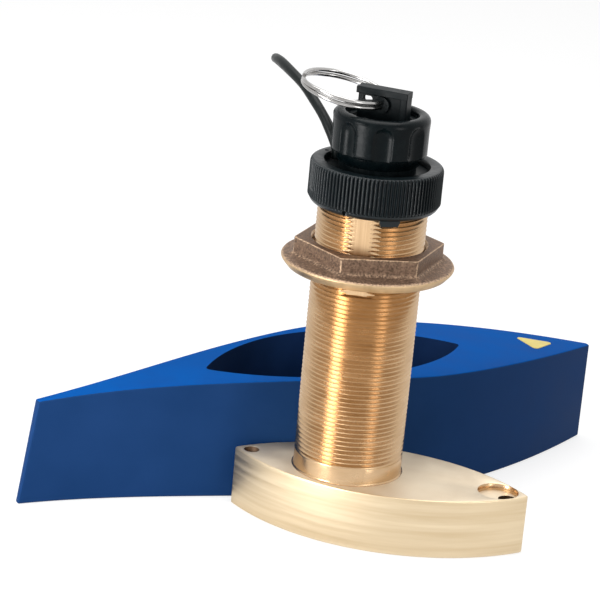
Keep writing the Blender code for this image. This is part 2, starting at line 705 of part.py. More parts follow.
def make_sleeve():
    """The plastic valve sleeve in the stem, its flap, hinge pin and spring, and its flange seal."""
    profile = [(SLEEVE_BORE_R, NECK_TOP), (NECK_R - NECK_CHAMFER, NECK_TOP),
               (NECK_R, NECK_TOP - NECK_CHAMFER), (NECK_R, SLEEVE_FLANGE_TOP),
               (SLEEVE_FLANGE_R, SLEEVE_FLANGE_TOP), (SLEEVE_FLANGE_R, SLEEVE_FLANGE_BOTTOM),
               (SLEEVE_R, SLEEVE_FLANGE_BOTTOM), (SLEEVE_R, SLEEVE_BOTTOM), (SLEEVE_BORE_R, SLEEVE_BOTTOM)]
    sleeve = turned("valve_sleeve", profile, BLACK_PLASTIC, stem_axis, 44)
    # the groove stops at the flange's underside, where the gland's hole takes over
    groove_low = SLEEVE_BOTTOM - PAST
    groove = box("lead_groove", (2 * PAST, LEAD_GROOVE_WIDTH, SLEEVE_FLANGE_BOTTOM - groove_low), None,
                 stem_axis, (*around(SLEEVE_BORE_R + LEAD_GROOVE_FLOOR + PAST, EXIT_ANGLE),
                             (SLEEVE_FLANGE_BOTTOM + groove_low) / 2), (0, 0, EXIT_ANGLE))
    boolean(sleeve, groove)
    slot = rod("gland_hole", GLAND_R + SEAT_GAP, 2 * (SLEEVE_FLANGE_THICK + LAP), None, stem_axis,
               (*around(EXIT_R, EXIT_ANGLE), SLEEVE_FLANGE_TOP), segments=24)
    boolean(sleeve, slot)
    window_out = STEM_BORE_R + PAST
    window_in = SLEEVE_BORE_R - WINDOW_INTO_BORE
    chord = 2 * STEM_BORE_R * math.sin(math.radians(WINDOW_HALF_ANGLE))
    window = box("valve_window", (window_out - window_in, chord, WINDOW_TOP - WINDOW_BOTTOM), None,
                 stem_axis, (*around((window_out + window_in) / 2, VALVE_ANGLE),
                             (WINDOW_TOP + WINDOW_BOTTOM) / 2), (0, 0, VALVE_ANGLE))
    boolean(sleeve, window)
    # the flap stands in the window, curved like the sleeve's wall, and hangs on its pin
    flap_in = SLEEVE_BORE_R + SEAT_GAP
    pin_r = flap_in + KNUCKLE_R + SEAT_GAP
    pin_z = WINDOW_TOP - KNUCKLE_R - SEAT_GAP
    half = WINDOW_HALF_ANGLE - FLAP_SIDE_ANGLE
    sweep = [-half + 2 * half * i / FLAP_STEPS for i in range(FLAP_STEPS + 1)]
    flap_points = [around(flap_in + FLAP_THICK, angle) for angle in sweep]
    flap_points += [around(flap_in, angle) for angle in reversed(sweep)]
    flap_height = WINDOW_TOP - PIN_BLOCK_DROP - SEAT_GAP - (WINDOW_BOTTOM + SEAT_GAP)
    flap = slab("valve_flap", [flap_points], flap_height, GREY_PLASTIC, stem_axis,
                (0, 0, WINDOW_BOTTOM + SEAT_GAP), (0, 0, VALVE_ANGLE))
    knuckle = rod("flap_knuckle", KNUCKLE_R, KNUCKLE_LENGTH, None, stem_axis,
                  (*around(pin_r, VALVE_ANGLE), pin_z), (90, 0, VALVE_ANGLE), 20)
    boolean(flap, knuckle, "UNION")
    pin_hole = rod("flap_pin_hole", PIN_R + SEAT_GAP, KNUCKLE_LENGTH * 3, None, stem_axis,
                   (*around(pin_r, VALVE_ANGLE), pin_z), (90, 0, VALVE_ANGLE), 16)
    boolean(flap, pin_hole)
    rod("valve_pin", PIN_R, PIN_LENGTH, STAINLESS, stem_axis,
        (*around(pin_r, VALVE_ANGLE), pin_z), (90, 0, VALVE_ANGLE), 16)
    # two blocks of the sleeve hold the pin's ends
    for side in (-1, 1):
        x, y = around(pin_r, VALVE_ANGLE)
        dx, dy = around(side * (PIN_LENGTH / 2 - PIN_IN_BLOCK), VALVE_ANGLE + 90)
        block = box("pin_block_" + ("right" if side > 0 else "left"),
                    (PIN_BLOCK, PIN_BLOCK, PIN_BLOCK_DROP + LAP), None, stem_axis,
                    (x + dx, y + dy, WINDOW_TOP + (LAP - PIN_BLOCK_DROP) / 2), (0, 0, VALVE_ANGLE))
        boolean(sleeve, block, "UNION")
    pin_seat = rod("pin_seat", PIN_R + SEAT_GAP, PIN_LENGTH + 2 * SEAT_GAP, None, stem_axis,
                   (*around(pin_r, VALVE_ANGLE), pin_z), (90, 0, VALVE_ANGLE), 16)
    boolean(sleeve, pin_seat)
    spring_r = PIN_R + SEAT_GAP + SPRING_WIRE_R
    spring_pitch = 2 * SPRING_WIRE_R + SPRING_COIL_GAP
    spring_points = []
    for i in range(SPRING_TURNS * SPRING_SIDES + 1):
        turns = i / SPRING_SIDES
        spring_points.append((*around(spring_r, 360 * turns), spring_pitch * (turns - SPRING_TURNS / 2)))
    side = KNUCKLE_LENGTH / 2 + SEAT_GAP + SPRING_WIRE_R + spring_pitch * SPRING_TURNS / 2
    x, y = around(pin_r, VALVE_ANGLE)
    dx, dy = around(side, VALVE_ANGLE + 90)
    wire("valve_spring", spring_points, SPRING_WIRE_R, STAINLESS, stem_axis, sides=0,
         location=(x + dx, y + dy, pin_z), turn=(90, 0, VALVE_ANGLE))


def make_gland():
    """The rubber gland in the sleeve's flange, tight round the cable."""
    rod("cable_gland", GLAND_R, SLEEVE_FLANGE_THICK, BLACK_RUBBER, stem_axis,
        (*around(EXIT_R, EXIT_ANGLE), SLEEVE_FLANGE_BOTTOM + SLEEVE_FLANGE_THICK / 2), segments=24)


def groove_steps(z):
    """An O-ring groove round z, on a profile that runs down."""
    half = GROOVE_WIDTH / 2
    groove_r = INSERT_R - GROOVE_DEPTH
    return [(INSERT_R, z + half), (groove_r, z + half), (groove_r, z - half), (INSERT_R, z - half)]


def make_insert():
    """The paddlewheel insert: turned body, fork for the wheel, dished head and handle fin."""
    dish_floor = SHOULDER_TOP - DISH_DEPTH
    profile = [(0, dish_floor), (DISH_R - DISH_TAPER, dish_floor), (DISH_R, SHOULDER_TOP),
               (SHOULDER_R, SHOULDER_TOP), (SHOULDER_R, SHOULDER_BOTTOM), (INSERT_R, SHOULDER_BOTTOM)]
    upper_groove_z = STEM_TOP - UPPER_GROOVE_DROP
    profile += groove_steps(upper_groove_z)
    waist_r = INSERT_R - WAIST_DEPTH
    waist_top = upper_groove_z - WAIST_LAND
    waist_bottom = WINDOW_TOP + WAIST_LAND
    profile += [(INSERT_R, waist_top), (waist_r, waist_top - WAIST_TAPER),
                (waist_r, waist_bottom + WAIST_TAPER), (INSERT_R, waist_bottom)]
    profile += groove_steps(LOWER_GROOVE_Z)
    profile += [(INSERT_R, INSERT_BOTTOM + INSERT_CHAMFER), (INSERT_R - INSERT_CHAMFER, INSERT_BOTTOM),
                (0, INSERT_BOTTOM)]
    body = turned("paddlewheel_insert", profile, BLACK_PLASTIC, stem_axis, 36)
    slot = box("fork_slot", (3 * INSERT_R, FORK_SLOT, 2 * FORK_TOP), None, stem_axis, (0, 0, 0))
    round_edges(slot, FORK_ROUND, 60)
    boolean(body, slot)
    wheel_z = WHEEL_BOTTOM + WHEEL_R
    axle_hole = rod("axle_hole", AXLE_HOLE_R, 3 * INSERT_R, None, stem_axis, (0, 0, wheel_z), (90, 0, 0), 20)
    boolean(body, axle_hole)
    # handle fin: a thick web with a wider top plate, a ring hole, a small hole and a side recess
    web_bottom = dish_floor - PAST
    web = box("fin_web", (FIN_LENGTH, FIN_THICK, FIN_TOP - web_bottom), None, stem_axis,
              (0, 0, (FIN_TOP + web_bottom) / 2), (0, 0, FIN_ANGLE))
    round_edges(web, FIN_EDGE, 40, 1)
    boolean(body, web, "UNION")
    for name, offset, radius, z in (
            ("ring_hole", 0, RING_HOLE_R, RING_HOLE_Z),
            ("small_hole", SMALL_HOLE_FROM_END - FIN_LENGTH / 2, SMALL_HOLE_R, FIN_TOP - SMALL_HOLE_DROP)):
        hole = rod(name, radius, 4 * FIN_THICK, None, stem_axis,
                   (*around(offset, FIN_ANGLE), z), (90, 0, FIN_ANGLE), 24)
        boolean(body, hole)
    recess_w = FIN_LENGTH / 2 - RING_HOLE_R - 2 * FIN_RIM
    recess_x = RING_HOLE_R + FIN_RIM + recess_w / 2
    recess_top = FIN_TOP - FIN_PLATE
    recess_bottom = SHOULDER_TOP + FIN_RIM
    for side in (-1, 1):
        x, y = around(recess_x, FIN_ANGLE)
        dx, dy = around(side * (FIN_THICK / 2), FIN_ANGLE + 90)
        recess = box("fin_recess_" + ("back" if side > 0 else "front"),
                     (recess_w, 2 * FIN_POCKET_DEPTH, recess_top - recess_bottom), None, stem_axis,
                     (x + dx, y + dy, (recess_top + recess_bottom) / 2), (0, 0, FIN_ANGLE))
        boolean(body, recess)
    # seals
    ring_r = (GROOVE_DEPTH + TURN_GAP) / 2 - SEAT_GAP
    mean_r = INSERT_R - GROOVE_DEPTH + SEAT_GAP + ring_r
    for name, z in (("o_ring_lower", LOWER_GROOVE_Z), ("o_ring_upper", upper_groove_z)):
        loop = [(*around(mean_r, 360 * i / O_RING_STEPS), z) for i in range(O_RING_STEPS)]
        wire(name, loop, ring_r, BLACK_RUBBER, stem_axis, closed=True, sides=1)
    # axle and wheel
    axle_length = 2 * (INSERT_R - AXLE_SET_IN)
    rod("paddle_axle", AXLE_R, axle_length, STAINLESS, stem_axis, (0, 0, wheel_z), (90, 0, 0), 20)
    make_wheel(wheel_z)


def make_wheel(wheel_z):
    """Four swept paddles on a hub, one outline pulled across the wheel's width."""
    outline = []
    for k in range(WHEEL_BLADES):
        for out, angle in PADDLE:
            radius = WHEEL_HUB_R + (WHEEL_R - WHEEL_HUB_R) * out
            outline.append(around(radius, 360 * k / WHEEL_BLADES + angle))
    bore = [around(WHEEL_BORE_R, -360 * i / 20) for i in range(20)]
    wheel = slab("paddlewheel", [outline, bore], WHEEL_WIDTH, BLACK_PLASTIC, stem_axis,
                 (0, 0, wheel_z), (90, 0, 0))
    wheel.data.transform(Matrix.Translation((0, 0, -WHEEL_WIDTH / 2 * MM)))
    for k in range(WHEEL_BLADES):
        x, z = around(MAGNET_FROM_AXLE, 360 * k / WHEEL_BLADES + MAGNET_ANGLE)
        seat = rod("magnet_seat_" + str(k + 1), MAGNET_R + SEAT_GAP, 2 * WHEEL_WIDTH, None, stem_axis,
                   (x, 0, wheel_z + z), (90, 0, 0), 12)
        boolean(wheel, seat)
        rod("paddle_magnet_" + str(k + 1), MAGNET_R, WHEEL_WIDTH - LAP, NICKEL, stem_axis,
            (x, 0, wheel_z + z), (90, 0, 0), 12)


def make_cap_nut():
    """The fluted cap nut that holds the insert down by its shoulder."""
    bottom = RING_NUT_TOP + CAP_ABOVE_RING_NUT
    skirt_r = CAP_BORE_R + CAP_SKIRT_WALL
    arc = []
    for angle in (90, 67.5, 45, 22.5, 0):
        dx, dz = around(CAP_ROUND, angle)
        arc.append((CAP_R - CAP_ROUND + dx, CAP_TOP - CAP_ROUND + dz))
    profile = [(CAP_HOLE_R, CAP_TOP - CAP_HOLE_CHAMFER), (CAP_HOLE_R + CAP_HOLE_CHAMFER, CAP_TOP)] + arc
    profile += [(CAP_R, CAP_SKIRT_TOP + CAP_LOWER_CHAMFER), (CAP_R - CAP_LOWER_CHAMFER, CAP_SKIRT_TOP),
                (skirt_r, CAP_SKIRT_TOP), (skirt_r, bottom), (CAP_BORE_R, bottom), (CAP_BORE_R, CAP_ROOF),
                (CAP_HOLE_R, CAP_ROOF)]
    cap = turned("cap_nut", profile, GLOSS_PLASTIC, stem_axis, 48)
    flute_at = CAP_R + CAP_FLUTE_R - CAP_FLUTE_DEPTH
    flute_bottom = CAP_SKIRT_TOP - PAST
    flute_top = CAP_TOP - CAP_FLUTE_DROP
    for k in range(CAP_LOBES):
        angle = CAP_FLUTE_ANGLE + 360 * k / CAP_LOBES
        flute = rod("cap_flute_" + str(k + 1), CAP_FLUTE_R, flute_top - flute_bottom, None, stem_axis,
                    (*around(flute_at, angle), (flute_top + flute_bottom) / 2), (0, 0, angle), 20)
        boolean(cap, flute)


def make_split_ring():
    """The sprung wire ring through the fin: two close turns, lying out to the left."""
    pitch = 2 * RING_WIRE_R + RING_COIL_GAP
    points = []
    for i in range(RING_STEPS + 1):
        share = i / RING_STEPS
        # one turn lies over the other, and the wire crosses from one to the other halfway
        climb = (share - 0.5) / RING_CROSSING
        height = pitch * max(-0.5, min(0.5, climb))
        x, y = around(RING_MEAN_R, RING_START + 720 * share)
        points.append((x - RING_MEAN_R, y, height))
    wire("split_ring", points, RING_WIRE_R, STAINLESS, stem_axis, location=(0, 0, RING_HOLE_Z),
         turn=(0, RING_TILT, FIN_ANGLE))


def make_ring_nut():
    """The ribbed ring nut that holds the sleeve's flange down on the stem."""
    lip_bottom = SLEEVE_FLANGE_TOP + SEAT_GAP
    rib_bottom = RING_NUT_BOTTOM + RIB_ABOVE_BOTTOM
    rib_height = RING_NUT_HEIGHT - RIB_ABOVE_BOTTOM - RIB_BELOW_TOP
    profile = [(RING_NUT_LIP_R, RING_NUT_TOP), (RING_NUT_R - RING_NUT_CHAMFER, RING_NUT_TOP),
               (RING_NUT_R, RING_NUT_TOP - RING_NUT_CHAMFER), (RING_NUT_R, rib_bottom - RIB_SHELF),
               (RING_NUT_R - RING_NUT_FOOT_TAPER, RING_NUT_BOTTOM), (NUT_BORE_R, RING_NUT_BOTTOM),
               (NUT_BORE_R, lip_bottom), (RING_NUT_LIP_R, lip_bottom)]
    nut = turned("ring_nut", profile, BLACK_PLASTIC, stem_axis, 50)
    # each rib has a steep left flank and an easier right one
    outline = []
    for k in range(RIB_COUNT):
        for rise, share in ((-RIB_ROOT, 0.0), (RIB_DEPTH, 0.22), (RIB_DEPTH, 0.52), (-RIB_ROOT, 0.74)):
            outline.append(around(RING_NUT_R + rise, 360 * (k + share) / RIB_COUNT))
    hole_r = (RING_NUT_R + NUT_BORE_R) / 2
    hole = [around(hole_r, -360 * i / 50) for i in range(50)]
    ribs = slab("rib_band", [outline, hole], rib_height, None, stem_axis, (0, 0, rib_bottom))
    boolean(nut, ribs, "UNION")
    key_in = NUT_BORE_R + KEY_INSET
    key_out = RING_NUT_R - RING_NUT_FOOT_TAPER - KEY_INSET
    key = box("key_tab", (key_out - key_in, KEY_WIDTH, KEY_DROP + 2 * LAP), None, stem_axis,
              (*around((key_in + key_out) / 2, KEY_ANGLE), RING_NUT_BOTTOM + LAP - KEY_DROP / 2),
              (0, 0, KEY_ANGLE))
    boolean(nut, key, "UNION")


def make_hull_nut():
    """The sand-cast hull nut: hexagon with its corners turned off, on a dished round flange."""
    flange_top = NUT_BOTTOM + NUT_FLANGE_THICK
    top = NUT_BOTTOM + NUT_HEIGHT
    flat_r = NUT_BORE_R + NUT_WALL
    corner_r = flat_r / math.cos(math.radians(30))
    flange_r = flat_r + NUT_FLANGE_WIDTH
    hexagon = [around(corner_r, NUT_TURN + 60 * k) for k in range(6)]
    nut = slab("hull_nut", [hexagon], top - flange_top + LAP, SAND_BRONZE, stem_axis,
               (0, 0, flange_top - LAP))
    face_r = flat_r - NUT_FACE_CHAMFER
    dome = turned("hexagon_turning", [
        (0, top + LAP), (face_r, top + LAP), (face_r, top), (corner_r + LAP, top - NUT_CORNER_DROP),
        (corner_r + LAP, flange_top - PAST), (0, flange_top - PAST)], None, stem_axis, 54)
    boolean(nut, dome, "INTERSECT")
    flange = turned("nut_flange", [
        (0, flange_top + NUT_FLANGE_SLOPE), (flat_r, flange_top + NUT_FLANGE_SLOPE),
        (flange_r - NUT_RIM, flange_top), (flange_r, flange_top - NUT_RIM),
        (flange_r - NUT_FACE_SET_IN, NUT_BOTTOM), (0, NUT_BOTTOM)], None, stem_axis, 54)
    boolean(nut, flange, "UNION")
    bore = turned("nut_bore", [
        (0, top + PAST), (NUT_BORE_R + NUT_BORE_CHAMFER, top + PAST), (NUT_BORE_R + NUT_BORE_CHAMFER, top),
        (NUT_BORE_R, top - NUT_BORE_CHAMFER), (NUT_BORE_R, NUT_BOTTOM - PAST), (0, NUT_BOTTOM - PAST)],
        None, stem_axis, 52)
    boolean(nut, bore)


def make_fairing():
    """The fairing: its plan cut from a block with the crowned side view, edges rounded, then pocketed."""
    half = FAIRING_LENGTH / 2
    stations = [-half + FAIRING_LENGTH * i / 30 for i in range(31)]
    plan = [(u, fairing_half_width(u)) for u in stations]
    plan += [(u, -v) for u, v in reversed(plan)]
    tallest = FAIRING_TIP_HEIGHT + FAIRING_CROWN
    fairing = slab("fairing", [plan], tallest + PAST, FAIRING_BLUE, fairing_stand)
    # side view, drawn in length and height, then stood up
    side = [(-half, -PAST), (half + LAP, -PAST), (half + LAP, fairing_top(half))]
    side += [(u, fairing_top(u)) for u in stations[-3:2:-2]]
    side += [(-half + FAIRING_RAKE, fairing_top(-half + FAIRING_RAKE)), (-half, FAIRING_RAKE_FROM)]
    profile = slab("fairing_side_view", [side], 4 * FAIRING_HALF_WIDTH, None, fairing_stand,
                   (0, 2 * FAIRING_HALF_WIDTH, 0), (90, 0, 0))
    boolean(fairing, profile, "INTERSECT")
    round_edges(fairing, FAIRING_EDGE, 38)
    middle = FOOT_LENGTH / 2 - STEM_FROM_LEFT_END
    floor = tallest - FOOT_HEIGHT - SEAT_GAP
    pocket = slab("foot_pocket", [foot_outline(FAIRING_POCKET_CLEARANCE)], 2 * FOOT_HEIGHT, None,
                  fairing_stand, (FAIRING_POCKET_U - middle, 0, floor))
    boolean(fairing, pocket)
    stem_hole = rod("fairing_stem_hole", STEM_R + FAIRING_STEM_CLEARANCE, 3 * floor, None, fairing_stand,
                    (FAIRING_POCKET_U - middle, 0, floor / 2), segments=56)
    boolean(fairing, stem_hole)
    # yellow arrow head let into the crown near the bow
    arrow_u = half - ARROW_FROM_TIP
    tip, base = ARROW_LENGTH / 2, -ARROW_LENGTH / 2
    corners = [(tip, 0), (base, ARROW_WIDTH / 2), (base, -ARROW_WIDTH / 2)]
    slope = math.degrees(math.atan(8 * FAIRING_CROWN * arrow_u / FAIRING_LENGTH ** 2))
    top = fairing_top(arrow_u)
    for name, grow, finish, drop in (("arrow_recess", SEAT_GAP, None, SEAT_GAP),
                                     ("fairing_arrow", 0, ARROW_YELLOW, 0)):
        outline = []
        for x, y in corners:
            away = Vector((x, y)).normalized()
            centre = Vector((x, y)) - away * 2 * ARROW_CORNER
            facing = math.degrees(math.atan2(away.y, away.x))
            for bend in (-60, -36, -12, 12, 36, 60):
                dx, dy = around(ARROW_CORNER + grow, facing + bend)
                outline.append((centre.x + dx, centre.y + dy))
        height = ARROW_THICK if finish else ARROW_THICK + PAST
        shape = slab(name, [outline], height, finish, fairing_stand,
                     (arrow_u, 0, top + ARROW_PROUD - ARROW_THICK - drop), (0, slope, 0))
        if finish is None:
            boolean(fairing, shape)


def make_cable():
    """The cable, its coil, its tail and its plug."""
    radius = CABLE_D / 2
    aside = stem_aside()
    heading = Matrix.Rotation(math.radians(-FAIRING_HEADING), 3, "Z")
    route = []
    for point in CABLE_ROUTE:
        local = heading @ Vector(point)
        route.append((local.x + STEM_ALONG_FAIRING, local.y + aside, point[2]))
    # it lands on the coil's near side and runs into the top turn
    outer_r = COIL_MEAN_R + COIL_COLUMNS * radius - radius
    top_z = COIL_HEIGHT + SEAT_GAP + radius
    for angle, height in LANDING:
        x, y = around(outer_r, angle)
        route.append((COIL_ALONG + x, COIL_ASIDE + y, top_z + height))
    # the first stretch stands straight up out of the gland
    wire("cable", route[:1] + smooth_route(route[1:], CABLE_SPACING), radius, CABLE_JACKET, fairing_stand)
    inner = COIL_MEAN_R - COIL_COLUMNS * radius
    outer = COIL_MEAN_R + COIL_COLUMNS * radius
    turned("cable_coil", [
        (inner + COIL_EDGE, COIL_HEIGHT), (outer - COIL_EDGE, COIL_HEIGHT), (outer, COIL_HEIGHT - COIL_EDGE),
        (outer, COIL_EDGE), (outer - COIL_EDGE, 0), (inner + COIL_EDGE, 0), (inner, COIL_EDGE),
        (inner, COIL_HEIGHT - COIL_EDGE)], CABLE_JACKET, fairing_stand, 36, (COIL_ALONG, COIL_ASIDE, 0))
    wire("cable_tail", smooth_route(TAIL_ROUTE, TAIL_SPACING), radius, CABLE_JACKET, fairing_stand)
    # plug: tapered boot, ribbed body and threaded collar, lying along the fairing
    body_start = -PLUG_BOOT_LENGTH - PLUG_SHOULDER
    nose_end = -PLUG_BOOT_LENGTH - PLUG_LENGTH
    nose_start = nose_end + PLUG_NOSE_LENGTH
    nose_r = PLUG_R - PLUG_SHOULDER
    grip = (body_start + nose_start) / 2
    profile = [(0, 0), (radius + LAP, 0), (radius + 2 * LAP, -PLUG_BOOT_LENGTH), (PLUG_R, body_start),
               (PLUG_R, grip + 2 * LAP), (PLUG_R - PLUG_GRIP_GROOVE, grip + LAP),
               (PLUG_R - PLUG_GRIP_GROOVE, grip - LAP), (PLUG_R, grip - 2 * LAP), (PLUG_R, nose_start),
               (nose_r, nose_start), (nose_r, nose_end), (0, nose_end)]
    plug_place = (PLUG_ALONG, PLUG_ASIDE, PLUG_COLLAR_R)
    turned("cable_plug", profile, BLACK_PLASTIC, fairing_stand, 24, plug_place, (0, 90, 0))
    collar_in = nose_r + SEAT_GAP
    collar_top = nose_start - SEAT_GAP
    collar_end = collar_top - PLUG_COLLAR_LENGTH
    turned("plug_collar", [
        (collar_in, collar_top), (PLUG_COLLAR_R - LAP, collar_top), (PLUG_COLLAR_R, collar_top - LAP),
        (PLUG_COLLAR_R, collar_end + LAP), (PLUG_COLLAR_R - LAP, collar_end), (collar_in, collar_end)],
        BLACK_PLASTIC, fairing_stand, 24, plug_place, (0, 90, 0))


make_housing()
make_element()
make_lead()
make_sleeve()
make_gland()
make_insert()
make_cap_nut()
make_split_ring()
make_ring_nut()
make_hull_nut()
make_fairing()
make_cable()
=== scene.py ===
import math

import bmesh
import bpy
import numpy as np
from mathutils import Euler, Matrix, Vector


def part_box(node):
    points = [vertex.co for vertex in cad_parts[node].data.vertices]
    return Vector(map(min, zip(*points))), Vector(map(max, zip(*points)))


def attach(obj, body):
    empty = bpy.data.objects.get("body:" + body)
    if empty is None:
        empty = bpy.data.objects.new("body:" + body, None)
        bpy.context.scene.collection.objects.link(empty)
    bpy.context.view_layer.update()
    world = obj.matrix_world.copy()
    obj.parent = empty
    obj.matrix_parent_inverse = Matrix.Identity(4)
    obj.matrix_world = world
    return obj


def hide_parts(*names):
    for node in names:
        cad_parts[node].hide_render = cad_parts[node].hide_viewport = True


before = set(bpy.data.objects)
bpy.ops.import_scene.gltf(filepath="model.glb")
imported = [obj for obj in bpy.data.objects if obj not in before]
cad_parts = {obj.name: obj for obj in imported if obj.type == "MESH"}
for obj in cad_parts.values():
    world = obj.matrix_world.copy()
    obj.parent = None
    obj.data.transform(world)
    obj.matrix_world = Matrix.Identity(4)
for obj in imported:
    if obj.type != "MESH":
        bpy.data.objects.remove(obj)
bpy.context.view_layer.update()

# ---------------------------------------------------------------------------------------------
# Housing. One bronze casting: a pointed-oval foot with a hollow stem, both machined all over and
# then brushed. The stem has a fine thread of 12 turns to the inch and a flat milled into it near
# the top; the foot has holes for the sensors, the sounding element and the fixing bolts.

MM = 0.001
axle_low, axle_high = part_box("paddle_axle")
STEM_AXIS = Vector(((axle_low.x + axle_high.x) / 2, (axle_low.y + axle_high.y) / 2, 0))

FOOT_LENGTH, FOOT_WIDTH, FOOT_HEIGHT = 140.6, 61.6, 28.3
FOOT_MIDDLE = 16.2
FOOT_TIP_R = 2.0
FOOT_EDGE = 0.8
STEM_R, STEM_BORE_R, STEM_TOP = 25.4, 22.0, 170.0
STEM_CHAMFER, BORE_CHAMFER, HOLE_CHAMFER = 1.3, 0.5, 0.35
THREAD_ROOT_R = 24.2
THREAD_PITCH = 25.4 / 12
THREAD_FROM, THREAD_TO = 36.0, 168.8
THREAD_FORM = (0.0, 0.2, 0.72, 1.0, 0.72, 0.2)
KEY_FLAT_ANGLE, KEY_FLAT_SPREAD = -88.0, 24.0
KEY_FLAT_R, KEY_FLAT_FROM = 23.95, 120.0
# each hole in the foot: its place along the foot, its radius and, where it is blind, its depth
COUNTERBORE = (72.4, 9.4, 3.2)
BOLT_HOLE = (77.2, 4.4)
TIP_HOLE = (-46.3, 3.3)
ELEMENT_POCKET = (44.0, 15.5, 22.0)
SENSOR_POCKETS = ((-28.6, 3.5, 19.3), (-37.2, 2.5, 14.3))


def surface(name, light, dark, gloss, size, stretch=(1, 1, 1), relief=0.0, metallic=0.0,
            grit=None, contrast=0.5, shine=0.5):
    """A finish that drifts between two colours and two roughnesses, with relief in millimetres."""
    made = bpy.data.materials.new(name)
    made.use_nodes = True
    nodes, links = made.node_tree.nodes, made.node_tree.links
    shader = nodes["Principled BSDF"]
    shader.inputs["Metallic"].default_value = metallic
    shader.inputs["Specular IOR Level"].default_value = shine
    place = nodes.new("ShaderNodeTexCoord")

    def speckle(size, stretch, detail):
        mapping = nodes.new("ShaderNodeMapping")
        mapping.inputs["Scale"].default_value = [1 / (size * MM * part) for part in stretch]
        links.new(place.outputs["Object"], mapping.inputs["Vector"])
        grain = nodes.new("ShaderNodeTexNoise")
        grain.inputs["Scale"].default_value = 1.0
        grain.inputs["Detail"].default_value = detail
        links.new(mapping.outputs["Vector"], grain.inputs["Vector"])
        return grain.outputs["Fac"]

    drift = speckle(size, stretch, 5.0)
    spread = nodes.new("ShaderNodeMapRange")
    spread.name = "drift"
    spread.inputs["From Min"].default_value = 0.5 - 0.25 * contrast - 0.05
    spread.inputs["From Max"].default_value = 0.5 + 0.25 * contrast + 0.05
    links.new(drift, spread.inputs["Value"])
    mix = nodes.new("ShaderNodeMix")
    mix.name = "colour"
    mix.data_type = "RGBA"  # its colours are inputs 6 and 7 and output 2
    mix.inputs[6].default_value = (*dark, 1.0)
    mix.inputs[7].default_value = (*light, 1.0)
    links.new(spread.outputs["Result"], mix.inputs["Factor"])
    links.new(mix.outputs[2], shader.inputs["Base Color"])
    rough = nodes.new("ShaderNodeMapRange")
    rough.inputs["To Min"].default_value = gloss[0]
    rough.inputs["To Max"].default_value = gloss[1]
    links.new(spread.outputs["Result"], rough.inputs["Value"])
    links.new(rough.outputs["Result"], shader.inputs["Roughness"])
    reliefs = [(drift, relief)] if relief else []
    if grit:
        reliefs.append((speckle(grit[0], (1, 1, 1), 3.0), grit[1]))
    last = None
    for height, depth in reliefs:
        bump = nodes.new("ShaderNodeBump")
        bump.inputs["Strength"].default_value = 1.0
        bump.inputs["Distance"].default_value = depth * MM
        links.new(height, bump.inputs["Height"])
        if last:
            links.new(last, bump.inputs["Normal"])
        last = bump.outputs["Normal"]
    if last:
        links.new(last, shader.inputs["Normal"])
    return made


def circle(radius, z, x=0.0, steps=96, turns=None):
    """A ring of points, in millimetres from the stem's axis. Radius and height may change round it."""
    turns = np.linspace(0, 360, steps, endpoint=False) if turns is None else turns
    rad = np.radians(turns)
    return np.stack([x + radius * np.cos(rad), radius * np.sin(rad), z + 0 * rad], 1)


def polar(radius, turn, *height):
    """A place from the axis at a radius and a turn in degrees."""
    a = math.radians(turn)
    return (radius * math.cos(a), radius * math.sin(a), *height)


def foot_ring(grow, z):
    """The foot's outline: an arc for each side and a small one for each tip."""
    tip, wide = FOOT_LENGTH / 2, FOOT_WIDTH / 2
    side_r = ((tip - FOOT_TIP_R) ** 2 - FOOT_TIP_R ** 2 + wide ** 2) / (2 * (wide - FOOT_TIP_R))
    aside, along = side_r - wide, tip - FOOT_TIP_R
    meet = math.degrees(math.atan2(aside, along))
    points = []
    for start, end, steps, cx, cy, radius in (
            (-meet, meet, 12, along, 0, FOOT_TIP_R), (meet, 180 - meet, 70, 0, -aside, side_r),
            (180 - meet, 180 + meet, 12, -along, 0, FOOT_TIP_R),
            (180 + meet, 360 - meet, 70, 0, aside, side_r)):
        for turn in np.linspace(start, end, steps, endpoint=False):
            x, y = polar(radius + grow, turn)
            points.append((FOOT_MIDDLE + cx + x, cy + y, z))
    return np.array(points)


def skin(form, *rings, finish=0, closed=False):
    """Faces between rings of points that follow each other; returns the rings' corners."""
    rings = [ring if isinstance(ring, list) else [form.verts.new(p) for p in ring] for ring in rings]
    for low, high in zip(rings, rings[1:] + (rings[:1] if closed else [])):
        for k in range(len(low)):
            j = (k + 1) % len(low)
            face = form.faces.new((low[k], low[j], high[j], high[k]))
            face.material_index = finish
    return rings


def fill(form, *rings, finish=0):
    """A flat face inside the first ring, with the other rings as holes."""
    edges = []
    for ring in rings:
        for a, b in zip(ring, ring[1:] + ring[:1]):
            edges.append(form.edges.get((a, b)) or form.edges.new((a, b)))
    made = bmesh.ops.triangle_fill(form, use_beauty=True, use_dissolve=False, edges=edges)
    for item in made["geom"]:
        if isinstance(item, bmesh.types.BMFace):
            item.material_index = finish


def placed(data, name, finishes, body, slot, *nodes, at=STEM_AXIS):
    """Put a mesh or curve on a body, in its finishes, in place of the CAD's nodes."""
    made = bpy.data.objects.new(name, data)
    bpy.context.scene.collection.objects.link(made)
    made.location = at
    for finish in finishes:
        data.materials.append(finish)
    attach(made, body)
    if nodes:
        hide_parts(*nodes)
    return made


